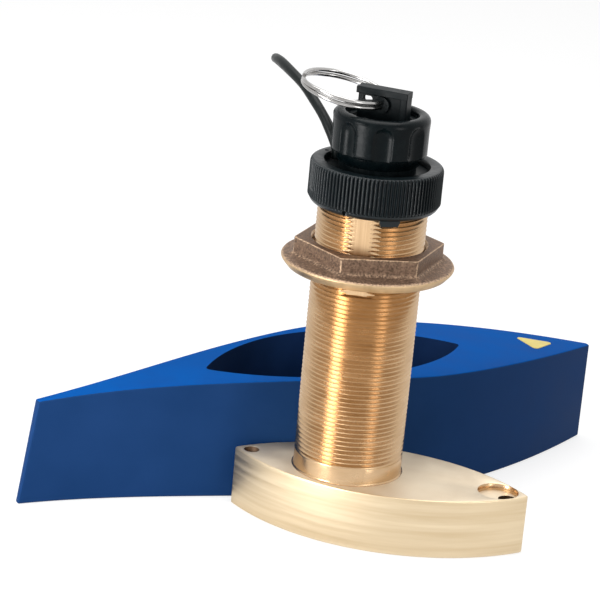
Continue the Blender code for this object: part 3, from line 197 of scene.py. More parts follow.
def finished(form, name, finishes, body, slot, *nodes, sharp=35, place=None):
    """Turn a form in millimetres into a piece, from the stem's axis or wherever place puts it."""
    bmesh.ops.remove_doubles(form, verts=form.verts, dist=0.003)
    bmesh.ops.recalc_face_normals(form, faces=form.faces)
    for face in form.faces:
        face.smooth = True
    for edge in form.edges:
        if len(edge.link_faces) == 2 and edge.calc_face_angle(0) > math.radians(sharp):
            edge.smooth = False
    form.transform(Matrix.Scale(MM, 4) @ (place or Matrix()))
    mesh = bpy.data.meshes.new(name)
    form.to_mesh(mesh)
    form.free()
    return placed(mesh, name, finishes, body, slot, *nodes, at=Vector() if place else STEM_AXIS)


brushed_bronze = surface("brushed_bronze", (0.76, 0.63, 0.44), (0.62, 0.48, 0.30), (0.34, 0.5),
                         8, stretch=(8, 8, 0.35), relief=0.05, metallic=1.0, grit=(0.35, 0.006), contrast=0.7)
faced_bronze = surface("faced_bronze", (0.76, 0.67, 0.53), (0.66, 0.55, 0.41), (0.5, 0.64),
                       14, stretch=(1.5, 1.5, 1), relief=0.01, metallic=1.0, grit=(0.4, 0.003), contrast=0.9)
turned_bronze = surface("turned_bronze", (0.62, 0.43, 0.255), (0.50, 0.33, 0.18), (0.2, 0.3),
                        14, stretch=(1, 1, 0.3), metallic=1.0, contrast=0.9)
milled_bronze = surface("milled_bronze", (0.66, 0.46, 0.27), (0.54, 0.35, 0.19), (0.3, 0.42),
                        2, stretch=(0.25, 0.25, 30), relief=0.02, metallic=1.0, contrast=0.9)
# a dark brown for the walls of the bolt and tip holes: painted shade inside the holes
bronze_painted_hole_shade = surface("bronze_painted_hole_shade", (0.16, 0.10, 0.06), (0.09, 0.055, 0.035), (0.5, 0.65),
                         3, relief=0.02, metallic=0.8)
SIDE, TOP, THREAD, FLAT, PAINTED_HOLE_SHADE = range(5)

# the turns are close together at the flat, so that the thread's ends show there as teeth
flat_to, flat_from = KEY_FLAT_ANGLE + KEY_FLAT_SPREAD, KEY_FLAT_ANGLE - KEY_FLAT_SPREAD + 360
stem_turns = np.concatenate([np.linspace(flat_to, flat_from, 110, endpoint=False),
                             np.linspace(flat_from, flat_to + 360, 54, endpoint=False)])
housing = bmesh.new()
foot_edge = [(FOOT_EDGE * (1 - math.cos(math.radians(a))), FOOT_EDGE * (1 - math.sin(math.radians(a))))
             for a in (0, 22.5, 45, 67.5, 90)]
sides = skin(housing, *[foot_ring(-inward, rise) for inward, rise in reversed(foot_edge)],
             *[foot_ring(-inward, FOOT_HEIGHT - rise) for inward, rise in foot_edge], finish=SIDE)
stem_foot = skin(housing, *[circle(STEM_R + inward, FOOT_HEIGHT + rise, turns=stem_turns)
                            for inward, rise in reversed(foot_edge)],
                 circle(STEM_R, THREAD_FROM, turns=stem_turns), finish=THREAD)

per_turn = len(THREAD_FORM)
rows = int((THREAD_TO - THREAD_FROM) / THREAD_PITCH * per_turn) + 2 * per_turn
count = len(stem_turns)
row, col = np.meshgrid(np.arange(rows), np.arange(count), indexing="ij")
share = (stem_turns[col] % 360) / 360
start = np.argmin(stem_turns % 360)
height = THREAD_FROM + (row / per_turn + share - 1) * THREAD_PITCH
crest = np.array(THREAD_FORM)[row % per_turn]
fade = (np.clip((height - THREAD_FROM) / (0.7 * THREAD_PITCH), 0, 1)
        * np.clip((THREAD_TO - height) / THREAD_PITCH, 0, 1))
radius = STEM_R - (STEM_R - THREAD_ROOT_R) * (1 - crest) * fade
height = np.clip(height, THREAD_FROM, THREAD_TO)
angle = np.radians(stem_turns)[col]
spots = np.stack([radius * np.cos(angle), radius * np.sin(angle), height], -1)
key = np.array(polar(1, KEY_FLAT_ANGLE, 0))
proud = np.clip(spots @ key - KEY_FLAT_R, 0, None) * (height > KEY_FLAT_FROM)
spots -= proud[..., None] * key
corners = [[housing.verts.new(p) for p in line] for line in spots]
for r in range(rows - per_turn - 1):
    for c in range(count):
        d = (c + 1) % count
        up = per_turn if d == start else 0
        if height[r, c] == height[r + 1, c] and height[r + up, d] == height[r + up + 1, d]:
            continue
        face = housing.faces.new((corners[r][c], corners[r + up][d],
                                  corners[r + up + 1][d], corners[r + 1][c]))
        face.material_index = FLAT if proud[r, c] > 0 and proud[r + up, d] > 0 else THREAD
bmesh.ops.delete(housing, geom=[v for line in corners for v in line if not v.link_faces], context="VERTS")

stem_top = skin(housing, circle(STEM_R, THREAD_TO, turns=stem_turns),
                circle(STEM_R - STEM_CHAMFER, STEM_TOP, turns=stem_turns),
                circle(STEM_BORE_R, STEM_TOP, turns=stem_turns),
                circle(STEM_BORE_R, BORE_CHAMFER, turns=stem_turns),
                circle(STEM_BORE_R + BORE_CHAMFER, 0, turns=stem_turns), finish=THREAD)
x, r, depth = COUNTERBORE
# the counterbore's walls are turned like the stem, and their darker turned colour also stands as painted
# shade inside the counterbore
seat = skin(housing, circle(r + 0.3, FOOT_HEIGHT, x, steps=80), circle(r, FOOT_HEIGHT - 0.3, x, steps=80),
            circle(r, FOOT_HEIGHT - depth, x, steps=80), finish=THREAD)
# the bolt hole's wall in the painted shade for inside the holes
bolt = skin(housing, circle(BOLT_HOLE[1], FOOT_HEIGHT - depth, BOLT_HOLE[0], steps=48),
            circle(BOLT_HOLE[1], 0, BOLT_HOLE[0], steps=48), finish=PAINTED_HOLE_SHADE)
fill(housing, seat[-1], bolt[0], finish=TOP)
# the tip hole's wall in the painted shade for inside the holes
tip = skin(housing, circle(TIP_HOLE[1] + HOLE_CHAMFER, FOOT_HEIGHT, TIP_HOLE[0], steps=48),
           circle(TIP_HOLE[1], FOOT_HEIGHT - HOLE_CHAMFER, TIP_HOLE[0], steps=48),
           circle(TIP_HOLE[1], 0, TIP_HOLE[0], steps=48), finish=PAINTED_HOLE_SHADE)
fill(housing, sides[-1], stem_foot[0], seat[0], tip[0], finish=TOP)
pockets = []
for x, r, top in (ELEMENT_POCKET,) + SENSOR_POCKETS:
    wall = skin(housing, circle(r, 0, x, steps=64), circle(r, top, x, steps=64), finish=SIDE)
    fill(housing, wall[-1], finish=SIDE)
    pockets.append(wall[0])
fill(housing, sides[0], stem_top[-1], bolt[-1], tip[-1], *pockets, finish=SIDE)
finished(housing, "bronze_housing",
         [brushed_bronze, faced_bronze, turned_bronze, milled_bronze, bronze_painted_hole_shade],
         "transducer", "bronze", "housing", sharp=60)

# ---------------------------------------------------------------------------------------------
# Sounding element and small sensors. A fired ceramic disc backed with pressed cork is cast into
# the foot's pocket under a resin window; two nickel-plated sensors stand in holes of their own
# behind resin plugs. Their lead runs up the valve sleeve's groove.


def dress(finish, *names):
    """Give CAD nodes that show as they are a finish and smooth shading."""
    for name in names:
        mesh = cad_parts[name].data
        mesh.materials.clear()
        mesh.materials.append(finish)
        mesh.shade_smooth()
        mesh.set_sharp_from_angle(angle=math.radians(35))


dress(surface("cast_resin", (0.035, 0.036, 0.04), (0.024, 0.025, 0.028), (0.28, 0.4), 5, relief=0.01),
      "acoustic_window", "element_potting", "speed_sensor_plug", "temperature_sensor_plug")
dress(surface("fired_ceramic", (0.74, 0.68, 0.55), (0.66, 0.6, 0.47), (0.55, 0.7), 2, relief=0.01),
      "piezo_disc")
dress(surface("pressed_cork", (0.5, 0.34, 0.2), (0.3, 0.18, 0.09), (0.8, 0.95), 1.2, relief=0.08),
      "element_backing")
nickel_plate = surface("nickel_plate", (0.62, 0.61, 0.58), (0.52, 0.51, 0.48), (0.2, 0.32), 4,
                       metallic=1.0, grit=(0.4, 0.004))
dress(nickel_plate, "speed_sensor", "temperature_sensor")
cable_jacket = surface("cable_jacket", (0.004, 0.007, 0.007), (0.002, 0.004, 0.004), (0.34, 0.46),
                       3, relief=0.01, grit=(0.5, 0.012), shine=0.2)
dress(cable_jacket, "element_lead")

# ---------------------------------------------------------------------------------------------
# Valve sleeve. A moulded black plastic liner of the stem with a flange on its top, a window, and
# in it a grey flap on a stainless pin, sprung by a small wire coil. A rubber gland in the flange
# holds the cable.

black_plastic = surface("black_plastic", (0.004, 0.007, 0.008), (0.002, 0.004, 0.005), (0.36, 0.48),
                        3, grit=(0.5, 0.02), shine=0.12)
stainless = surface("stainless_steel", (0.50, 0.49, 0.48), (0.36, 0.35, 0.34), (0.12, 0.22), 6,
                    metallic=1.0, grit=(0.3, 0.003))
dress(black_plastic, "valve_sleeve")
dress(surface("grey_plastic", (0.11, 0.12, 0.13), (0.08, 0.09, 0.10), (0.42, 0.55), 3, grit=(0.5, 0.01)),
      "valve_flap")
dress(stainless, "valve_pin", "valve_spring")
black_rubber = surface("black_rubber", (0.016, 0.016, 0.017), (0.010, 0.010, 0.011), (0.55, 0.7), 2,
                       grit=(0.4, 0.01), shine=0.3)
dress(black_rubber, "cable_gland")

# ---------------------------------------------------------------------------------------------
# Paddlewheel insert. A black moulded plug that drops into the sleeve: a fork with the wheel at its
# lower end, two O-ring grooves, a waist, a dished head, and on it a handle fin with a flat top
# plate, a hole with a raised rim for the split ring, and a small window beside it.

INSERT_R, INSERT_BOTTOM = 15.3, 1.2
WAIST_R, WAIST_FROM, WAIST_TO = 13.6, 100.0, 142.0
GROOVE_R, GROOVE_HALF, GROOVE_LOW_Z, GROOVE_HIGH_Z = 12.9, 1.45, 40.0, 150.0
SHOULDER_R, SHOULDER_FROM, SHOULDER_TO = 17.3, 195.3, 197.5
DISH_R, DISH_FLOOR = 14.2, 194.3
FORK_SLOT, FORK_TOP = 12.0, 28.0
AXLE_Z, AXLE_HOLE_R = 12.8, 1.8
FIN_ANGLE, FIN_TOP = -8.0, 211.4
FIN_LENGTH, FIN_THICK, FIN_PLATE = 24.6, 7.4, 3.2
FIN_WEB, FIN_POST, WEB_SUNK = 3.6, 3.4, 2.0
RING_HOLE_Z, RING_HOLE_R, RING_HOLE_RIM = 204.2, 2.5, 1.2
FIN_WINDOW, FIN_WINDOW_AT, FIN_WINDOW_Z = (4.6, 20, 3.2), -7.2, 205.6


def turning(profile, steps=96):
    """A (radius, height) profile that starts and ends on the axis, turned round it."""
    form = bmesh.new()
    skin(form, *[circle(max(radius, 0.001), z, steps=steps) for radius, z in profile])
    return form


def block(size, middle, turn=0.0, edge=0.0):
    """A block with rounded edges, its middle in millimetres from the stem's axis."""
    form = bmesh.new()
    bmesh.ops.create_cube(form, size=1.0, matrix=Matrix.Diagonal((*size, 1.0)))
    if edge:
        bmesh.ops.bevel(form, geom=form.edges[:], offset=edge, segments=3, profile=0.5, affect="EDGES")
    form.transform(Matrix.Translation(middle) @ Matrix.Rotation(math.radians(turn), 4, "Z"))
    return form


def bar(radius, length, middle, turn=(0, 0, 0), steps=48):
    """A round bar, tipped and turned in degrees."""
    form = bmesh.new()
    bmesh.ops.create_cone(form, cap_ends=True, segments=steps, radius1=radius, radius2=radius, depth=length)
    tilt = Euler([math.radians(a) for a in turn]).to_matrix().to_4x4()
    form.transform(Matrix.Translation(middle) @ tilt)
    return form


def worked(form, *steps):
    """A form after cuts, joins and edge roundings, each step given in order."""
    helpers = []

    def linked(form):
        bmesh.ops.recalc_face_normals(form, faces=form.faces)
        mesh = bpy.data.meshes.new("work")
        form.to_mesh(mesh)
        form.free()
        helpers.append(bpy.data.objects.new("work", mesh))
        bpy.context.scene.collection.objects.link(helpers[-1])
        return helpers[-1]

    piece = linked(form)
    for what, given in steps:
        if what == "EDGES":
            rounding = piece.modifiers.new("edges", "BEVEL")
            rounding.width, rounding.segments = given[:2]
            rounding.limit_method = "ANGLE"
            rounding.angle_limit = math.radians(given[2])
            rounding.use_clamp_overlap = True
        else:
            cut = piece.modifiers.new("cut", "BOOLEAN")
            cut.operation = what
            cut.solver = "EXACT"
            cut.object = linked(given)
    bpy.context.view_layer.update()
    mesh = bpy.data.meshes.new_from_object(piece.evaluated_get(bpy.context.evaluated_depsgraph_get()))
    for helper in helpers:
        bpy.data.objects.remove(helper, do_unlink=True)
    result = bmesh.new()
    result.from_mesh(mesh)
    return result


def groove(z):
    """An O-ring groove with its edges broken by 0.3 mm, from its top down."""
    top, bottom = z + GROOVE_HALF, z - GROOVE_HALF
    return [(INSERT_R, top + 0.3), (INSERT_R - 0.3, top), (GROOVE_R, top), (GROOVE_R, bottom),
            (INSERT_R - 0.3, bottom), (INSERT_R, bottom - 0.3)]


insert_rows = [
    (0, DISH_FLOOR), (DISH_R - 2.2, DISH_FLOOR), (DISH_R - 1.2, DISH_FLOOR + 0.3),
    (DISH_R - 0.6, DISH_FLOOR + 1.0), (DISH_R, SHOULDER_TO - 0.3), (DISH_R + 0.4, SHOULDER_TO),
    (SHOULDER_R - 0.4, SHOULDER_TO), (SHOULDER_R, SHOULDER_TO - 0.4), (SHOULDER_R, SHOULDER_FROM),
    (INSERT_R, SHOULDER_FROM), *groove(GROOVE_HIGH_Z),
    (INSERT_R, WAIST_TO), (INSERT_R - 0.4, WAIST_TO - 0.8), (WAIST_R + 0.4, WAIST_TO - 3.4),
    (WAIST_R, WAIST_TO - 4.2), (WAIST_R, WAIST_FROM + 4.2), (WAIST_R + 0.4, WAIST_FROM + 3.4),
    (INSERT_R - 0.4, WAIST_FROM + 0.8), (INSERT_R, WAIST_FROM), *groove(GROOVE_LOW_Z),
    (INSERT_R, INSERT_BOTTOM + 1.2), (INSERT_R - 1.2, INSERT_BOTTOM), (0, INSERT_BOTTOM)]
web_height = FIN_TOP - DISH_FLOOR + WEB_SUNK + 1
web_middle = FIN_TOP - 1 - web_height / 2
insert_steps = [
    ("DIFFERENCE", block((50, FORK_SLOT, 2 * FORK_TOP), (0, 0, 0), 0, 2.5)),
    ("DIFFERENCE", bar(AXLE_HOLE_R, 50, (0, 0, AXLE_Z), (90, 0, 0))),
    ("UNION", block((FIN_LENGTH, FIN_THICK, FIN_PLATE), (0, 0, FIN_TOP - FIN_PLATE / 2), FIN_ANGLE, 0.35)),
    ("UNION", block((FIN_LENGTH - 1.2, FIN_WEB, web_height), (0, 0, web_middle), FIN_ANGLE, 0.3)),
    ("UNION", block((FIN_POST, FIN_THICK - 0.1, web_height),
                    polar((FIN_LENGTH - FIN_POST) / 2 - 0.05, FIN_ANGLE, web_middle), FIN_ANGLE, 0.6)),
    ("UNION", bar(RING_HOLE_R + RING_HOLE_RIM, FIN_THICK - 0.4, (0, 0, RING_HOLE_Z), (90, 0, FIN_ANGLE))),
    ("DIFFERENCE", bar(RING_HOLE_R, 30, (0, 0, RING_HOLE_Z), (90, 0, FIN_ANGLE))),
    ("DIFFERENCE", block(FIN_WINDOW, polar(FIN_WINDOW_AT, FIN_ANGLE, FIN_WINDOW_Z), FIN_ANGLE, 1.2))]
insert = finished(worked(turning(insert_rows), *insert_steps), "moulded_insert", [black_plastic],
                  "insert", "black_plastic", "paddlewheel_insert", sharp=32)
insert.modifiers.new("normals", "WEIGHTED_NORMAL").keep_sharp = True

# ---------------------------------------------------------------------------------------------
# Seals, axle and wheel. Two rubber O-rings lie in the insert's grooves. The paddlewheel is moulded
# plastic with four swept paddles, each with a magnet in it, on a stainless axle.

dress(black_rubber, "o_ring_lower", "o_ring_upper")
dress(stainless, "paddle_axle")
dress(black_plastic, "paddlewheel")
dress(nickel_plate, *["paddle_magnet_" + str(k) for k in (1, 2, 3, 4)])
paddle_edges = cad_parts["paddlewheel"].modifiers.new("edges", "BEVEL")
paddle_edges.width, paddle_edges.segments = 0.25 * MM, 2

# ---------------------------------------------------------------------------------------------
# Cap nut. A glossy black moulding that screws onto the sleeve's neck and holds the insert down.
# It has a wide rounded rim, eight shallow flutes that end in arches under it, and a plain skirt.

CAP_R, CAP_TOP, CAP_ROUND = 22.3, 201.0, 3.2
CAP_HOLE_R, CAP_BORE_R, CAP_ROOF = 16.6, 18.2, 197.8
GRIP_FROM, SKIRT_R, SKIRT_FROM = 182.6, 19.0, 177.6
FLUTE_R, FLUTE_DEPTH, FLUTE_ANGLE, FLUTES = 7.0, 2.4, -75.5, 8
FLUTE_ARCH_Z, FLUTE_EASE = 193.2, 0.24

gloss_black_plastic = surface("gloss_black_plastic", (0.003, 0.006, 0.007), (0.001, 0.003, 0.004),
                              (0.2, 0.3), 4, grit=(0.7, 0.05), shine=0.1)
cap_turns = np.linspace(0, 360, 400, endpoint=False)
flute_away = CAP_R + FLUTE_R - FLUTE_DEPTH
off_flute = np.radians((cap_turns - FLUTE_ANGLE + 180 / FLUTES) % (360 / FLUTES) - 180 / FLUTES)


def fluted(radius, z):
    """The radius round the cap where the flutes cut in, eased over a soft edge."""
    ball = FLUTE_R ** 2 - max(0.0, z - FLUTE_ARCH_Z) ** 2 - (flute_away * np.sin(off_flute)) ** 2
    wall = flute_away * np.cos(off_flute) - np.sqrt(np.clip(ball, 0, None))
    depth = np.where(ball > 0, radius - wall, -9.0)
    return radius - (depth + np.sqrt(depth ** 2 + FLUTE_EASE ** 2)) / 2 + FLUTE_EASE / 8


def rounding(radius, top, size, step):
    """The (radius, height) points of a rim's round, from its top outwards."""
    return [(radius - size * (1 - math.sin(math.radians(a))), top - size * (1 - math.cos(math.radians(a))))
            for a in range(0, 91, step)]


cap = bmesh.new()
cap_rows = [(CAP_HOLE_R, CAP_ROOF), (CAP_HOLE_R, CAP_TOP - 1.3), (CAP_HOLE_R + 0.25, CAP_TOP - 0.6),
            (CAP_HOLE_R + 0.8, CAP_TOP - 0.15), (CAP_HOLE_R + 1.4, CAP_TOP)]
cap_rows += rounding(CAP_R, CAP_TOP, CAP_ROUND, 15)
cap_rows += [(CAP_R, z) for z in np.arange(CAP_TOP - CAP_ROUND - 0.4, GRIP_FROM + 1.3, -0.5)]
cap_rows += [(CAP_R, GRIP_FROM + 0.7), (CAP_R - 0.25, GRIP_FROM + 0.25), (CAP_R - 0.8, GRIP_FROM),
             (SKIRT_R + 0.5, GRIP_FROM), (SKIRT_R + 0.1, GRIP_FROM - 0.15), (SKIRT_R, GRIP_FROM - 0.6),
             (SKIRT_R, SKIRT_FROM + 0.3), (SKIRT_R - 0.3, SKIRT_FROM), (CAP_BORE_R, SKIRT_FROM),
             (CAP_BORE_R, CAP_ROOF)]
cap_rings = [circle(np.maximum(fluted(r, z), min(r, SKIRT_R)) if r > SKIRT_R + 0.6 else r, z, turns=cap_turns)
             for r, z in cap_rows]
skin(cap, *cap_rings, closed=True)
finished(cap, "fluted_cap_nut", [gloss_black_plastic], "cap_nut", "gloss_black_plastic", "cap_nut",
         sharp=50)

# ---------------------------------------------------------------------------------------------
# Split ring. Two close turns of bright drawn stainless wire, threaded through the fin's hole and
# lying out to the left; one turn crosses over the other halfway round.

RING_MEAN_R, RING_WIRE_R, RING_COIL_GAP = 19.4, 0.95, 0.35
RING_TILT, RING_START, RING_CROSSING = 11.0, 200.0, 0.16


def wire(name, points, radius, finish, body, slot, *nodes, sides=4, at=STEM_AXIS):
    """A round wire or cable along its points, in millimetres."""
    line = bpy.data.curves.new(name, "CURVE")
    line.dimensions = "3D"
    line.bevel_depth = radius * MM
    line.bevel_resolution = sides
    line.use_fill_caps = True
    spline = line.splines.new("POLY")
    spline.points.add(len(points) - 1)
    for spot, (x, y, z) in zip(spline.points, points):
        spot.co = (x * MM, y * MM, z * MM, 1)
    spline.use_smooth = True
    return placed(line, name, [finish], body, slot, *nodes, at=at)


ring_place = (Matrix.Translation((0, 0, RING_HOLE_Z)) @ Matrix.Rotation(math.radians(FIN_ANGLE), 4, "Z")
              @ Matrix.Rotation(math.radians(RING_TILT), 4, "Y"))
ring_points = []
for share in np.linspace(0, 1, 240):
    climb = max(-0.5, min(0.5, (share - 0.5) / RING_CROSSING))
    x, y = polar(RING_MEAN_R, RING_START + 720 * share)
    ring_points.append(ring_place @ Vector((x - RING_MEAN_R, y, (2 * RING_WIRE_R + RING_COIL_GAP) * climb)))
wire("wire_split_ring", ring_points, RING_WIRE_R, stainless, "split_ring", "stainless_steel", "split_ring",
     sides=6)

# ---------------------------------------------------------------------------------------------
# Ring nut. A satin black moulding with a hundred fine ribs that screws onto the stem's top and
# holds the sleeve's flange down. A small tab hangs from its lower edge, beside a notch.

RIB_R, RIB_ROOT_R, RIBS = 30.6, 29.35, 100
NUT_BORE_R, LIP_R, LIP_FROM = 25.8, 24.3, 173.9
RING_NUT_FROM, RING_NUT_TO = 157.2, 177.0
RIB_FROM, RIB_END_R, RIM_ROUND = 159.9, 29.9, 2.0
NUT_FOOT = ((29.95, RIB_FROM - 0.25), (29.8, 159.0), (29.3, 158.2), (28.6, 157.5), (28.1, RING_NUT_FROM))
NOTCH_ANGLE, NOTCH_HALF_ANGLE, NOTCH_R = -104.5, 2.0, 27.3
TAB_ANGLE, TAB_AT_R, TAB_SIZE, TAB_TAPER = -62.7, 26.95, (2.0, 11.2, 4.6), 0.28
DIMPLE_ANGLE, DIMPLE_AT_R, DIMPLE_R, DIMPLE_DEPTH = 164.7, 26.2, 1.1, 0.7

satin_black_plastic = surface("satin_black_plastic", (0.004, 0.009, 0.011), (0.002, 0.005, 0.007),
                              (0.28, 0.4), 3, grit=(0.5, 0.02), shine=0.32)

# one rib: how far along it each edge lies, and how far out
rib_share = np.array([0.0, 0.1, 0.2, 0.26, 0.34, 0.42, 0.5, 0.58, 0.68, 0.84])
rib_form = np.array([0.0, 0.08, 0.85, 1.0, 0.95, 0.82, 0.62, 0.36, 0.08, 0.0])
rib_turns = ((np.arange(RIBS)[:, None] + rib_share[None, :]) * 360 / RIBS).ravel()
rib_radius = np.tile(RIB_ROOT_R + (RIB_R - RIB_ROOT_R) * rib_form, RIBS)
notch = np.abs((rib_turns - NOTCH_ANGLE + 180) % 360 - 180) < NOTCH_HALF_ANGLE
ring_nut = bmesh.new()
nut_rings = [circle(LIP_R + 0.3, RING_NUT_TO, turns=rib_turns)]
nut_rings += [circle(np.minimum(rib_radius, r), z, turns=rib_turns)
              for r, z in rounding(RIB_R, RING_NUT_TO, RIM_ROUND, 9)]
nut_rings += [circle(rib_radius, z, turns=rib_turns) for z in (172.0, 168.0, 164.0, RIB_FROM + 0.3)]
nut_rings += [circle(np.minimum(rib_radius, RIB_END_R), RIB_FROM, turns=rib_turns)]
nut_rings += [circle(np.where(notch, NOTCH_R, r), z, turns=rib_turns) for r, z in NUT_FOOT]
nut_rings += [circle(r, z, turns=rib_turns) for r, z in (
    (NUT_BORE_R + 0.5, RING_NUT_FROM), (NUT_BORE_R, RING_NUT_FROM + 0.5), (NUT_BORE_R, LIP_FROM),
    (LIP_R, LIP_FROM), (LIP_R, RING_NUT_TO - 0.3))]
skin(ring_nut, *nut_rings, closed=True)
tab_way = polar(1, TAB_ANGLE)
tab = block(TAB_SIZE, polar(TAB_AT_R, TAB_ANGLE, RING_NUT_FROM - 0.3), TAB_ANGLE)
for corner in tab.verts:
    if corner.co.z < RING_NUT_FROM:
        across = corner.co.y * tab_way[0] - corner.co.x * tab_way[1]
        corner.co.x += TAB_TAPER * across * tab_way[1]
        corner.co.y -= TAB_TAPER * across * tab_way[0]
dimple = bar(DIMPLE_R, 2 * DIMPLE_DEPTH, polar(DIMPLE_AT_R, DIMPLE_ANGLE, RING_NUT_TO), steps=24)
finished(worked(ring_nut, ("UNION", tab), ("DIFFERENCE", dimple)), "ribbed_ring_nut", [satin_black_plastic],
         "ring_nut", "black_plastic", "ring_nut", sharp=48)

# ---------------------------------------------------------------------------------------------
# Hull nut. A sand-cast bronze hexagon on a round flange: the casting's skin is left rough and
# brown, its edges are worn bright, and the thread, the seat and the rim are turned clean.

NUT_FLAT_R, NUT_TURN, FLANGE_R = 30.4, 20.7, 40.0
HULL_NUT_FROM, FLANGE_TOP, HULL_NUT_TO = 126.4, 131.0, 139.8
HULL_NUT_BORE_R, FLANGE_ROOT_R = 25.8, 39.2
CORNER_WEAR_FROM, CORNER_WEAR, CORNER_LOSS = 28.6, 1.4, 0.25
WEAR_DRIFT, WEAR_FROM, WEAR_TO = 0.7, 0.7, 1.7
WORN_BRONZE = (0.70, 0.50, 0.33, 1.0)
CAST, TURNED, RUBBED = range(3)

sand_cast_bronze = surface("sand_cast_bronze", (0.28, 0.18, 0.12), (0.09, 0.058, 0.041), (0.46, 0.62), 1.0,
                           metallic=0.9, grit=(0.62, 0.34), relief=0.08, contrast=0.6)
rubbed_bronze = surface("rubbed_bronze", (0.62, 0.45, 0.27), (0.47, 0.33, 0.18), (0.42, 0.56), 5,
                        metallic=1.0, grit=(0.45, 0.02))
nodes, links = sand_cast_bronze.node_tree.nodes, sand_cast_bronze.node_tree.links
wear = nodes.new("ShaderNodeAttribute")
wear.attribute_name = "wear"
rubbed = nodes.new("ShaderNodeMath")
rubbed.operation = "MULTIPLY_ADD"
links.new(nodes["drift"].outputs["Result"], rubbed.inputs[0])
rubbed.inputs[1].default_value = WEAR_DRIFT
links.new(wear.outputs["Fac"], rubbed.inputs[2])
worn = nodes.new("ShaderNodeMapRange")
worn.inputs["From Min"].default_value = WEAR_FROM
worn.inputs["From Max"].default_value = WEAR_TO
links.new(rubbed.outputs[0], worn.inputs["Value"])
bright = nodes.new("ShaderNodeMix")
bright.data_type = "RGBA"
bright.inputs[7].default_value = WORN_BRONZE
links.new(worn.outputs["Result"], bright.inputs["Factor"])
links.new(nodes["colour"].outputs[2], bright.inputs[6])
links.new(bright.outputs[2], nodes["Principled BSDF"].inputs["Base Color"])

side = np.concatenate([np.array([-30, -29.2, -28.4, -27.0, -25.0]), np.linspace(-22.5, 22.5, 19),
                       np.array([25.0, 27.0, 28.4, 29.2])])
nut_turns = np.concatenate([NUT_TURN + 30 + 60 * k + side for k in range(6)])
hexagon = np.tile(NUT_FLAT_R / np.cos(np.radians(side)), 6)
at_corner = np.tile(np.clip((np.abs(side) - CORNER_WEAR_FROM) / CORNER_WEAR, 0, 1), 6)
hexagon -= CORNER_LOSS * at_corner
# each row: its radius, height and wear, and the finish of the faces before it
nut_rows = [
    (HULL_NUT_BORE_R, HULL_NUT_FROM + 1, 0, TURNED), (HULL_NUT_BORE_R, HULL_NUT_TO - 1.2, 0, TURNED),
    (HULL_NUT_BORE_R + 1.2, HULL_NUT_TO, 0.5, TURNED), (HULL_NUT_BORE_R + 2.0, HULL_NUT_TO, 0.0, CAST),
    (hexagon - 1.1, HULL_NUT_TO, 0.0, CAST), (hexagon - 0.5, HULL_NUT_TO, 0.5, CAST),
    (hexagon - 0.15, HULL_NUT_TO - 0.06, 1.0, CAST), (hexagon, HULL_NUT_TO - 0.25, 0.95, CAST),
    (hexagon, HULL_NUT_TO - 0.6, 0.25, CAST), (hexagon, HULL_NUT_TO - 1.5, at_corner, CAST),
    (hexagon, FLANGE_TOP + 3.0, at_corner, CAST), (hexagon + 0.02, FLANGE_TOP + 2.2, at_corner, CAST),
    (hexagon + 0.25, FLANGE_TOP + 1.8, 0.35, CAST), (hexagon + 0.8, FLANGE_TOP + 1.5, 0.55, CAST),
    (hexagon + 1.3, FLANGE_TOP + 1.1, 0.35, CAST), (hexagon + 2.2, FLANGE_TOP + 0.7, 0.2, CAST),
    (38.1, FLANGE_TOP + 0.3, 0.25, CAST), (39.0, FLANGE_TOP + 0.1, 0.5, CAST),
    (39.55, FLANGE_TOP - 0.15, 0.9, CAST), (39.85, FLANGE_TOP - 0.55, 1.0, CAST),
    (FLANGE_R, FLANGE_TOP - 0.95, 1.0, RUBBED), (39.75, FLANGE_TOP - 1.6, 1, RUBBED),
    (39.0, FLANGE_TOP - 2.6, 1, RUBBED), (38.1, FLANGE_TOP - 3.6, 1, RUBBED),
    (37.5, HULL_NUT_FROM + 0.25, 1, RUBBED), (37.1, HULL_NUT_FROM, 1, RUBBED),
    (HULL_NUT_BORE_R + 1, HULL_NUT_FROM, 1, TURNED)]
hull_nut = bmesh.new()
worn_layer = hull_nut.verts.layers.float.new("wear")
rings = []
for r, z, amount, _ in nut_rows:
    rings += skin(hull_nut, circle(np.minimum(r, FLANGE_ROOT_R) if np.ndim(r) else r, z, turns=nut_turns))
    for vert, value in zip(rings[-1], np.broadcast_to(amount, len(nut_turns))):
        vert[worn_layer] = float(value)
for low, high, (_, _, _, finish) in zip(rings, rings[1:] + rings[:1], nut_rows[1:] + nut_rows[:1]):
    skin(hull_nut, low, high, finish=finish)
finished(hull_nut, "cast_hull_nut", [sand_cast_bronze, turned_bronze, rubbed_bronze], "hull_nut",
         "sand_cast_bronze", "hull_nut", sharp=34)

# ---------------------------------------------------------------------------------------------
# Fairing. A blue polymer block, cut and sanded to a boat-shaped plan with a crowned top and a
# small round on every edge; a pocket takes the foot and a hole takes the stem. A yellow arrow
# head, let into the top near the bow, points forward.

FAIRING_LENGTH, FAIRING_HALF_WIDTH, FAIRING_TIP_HALF = 318.2, 41.5, 1.5
FAIRING_WIDEST, FAIRING_TAIL_STRAIGHT, FAIRING_BOW_POWER = 0.25, 0.3, 1.6
FAIRING_TIP_HEIGHT, FAIRING_CROWN, FAIRING_RAKE = 50.0, 9.4, 7.2
FAIRING_HEADING, FAIRING_ROUND = 42.4, 1.6
POCKET_U, POCKET_GROW, POCKET_FLOOR = 7.5, 0.8, 30.8
STEM_HOLE_R = 27.0
BLOCK_HEIGHT, PAINTED_LIT_TOP_ABOVE, THROUGH = 70.0, 45.0, 90
ARROW_FROM_TIP, ARROW_LENGTH, ARROW_WIDTH = 31.1, 18.6, 19.0
ARROW_THICK, ARROW_PROUD, ARROW_CORNER = 1.2, 0.25, 2.0
ARROW_GAP = 0.12
fairing_place = Matrix.Rotation(math.radians(FAIRING_HEADING), 4, "Z")


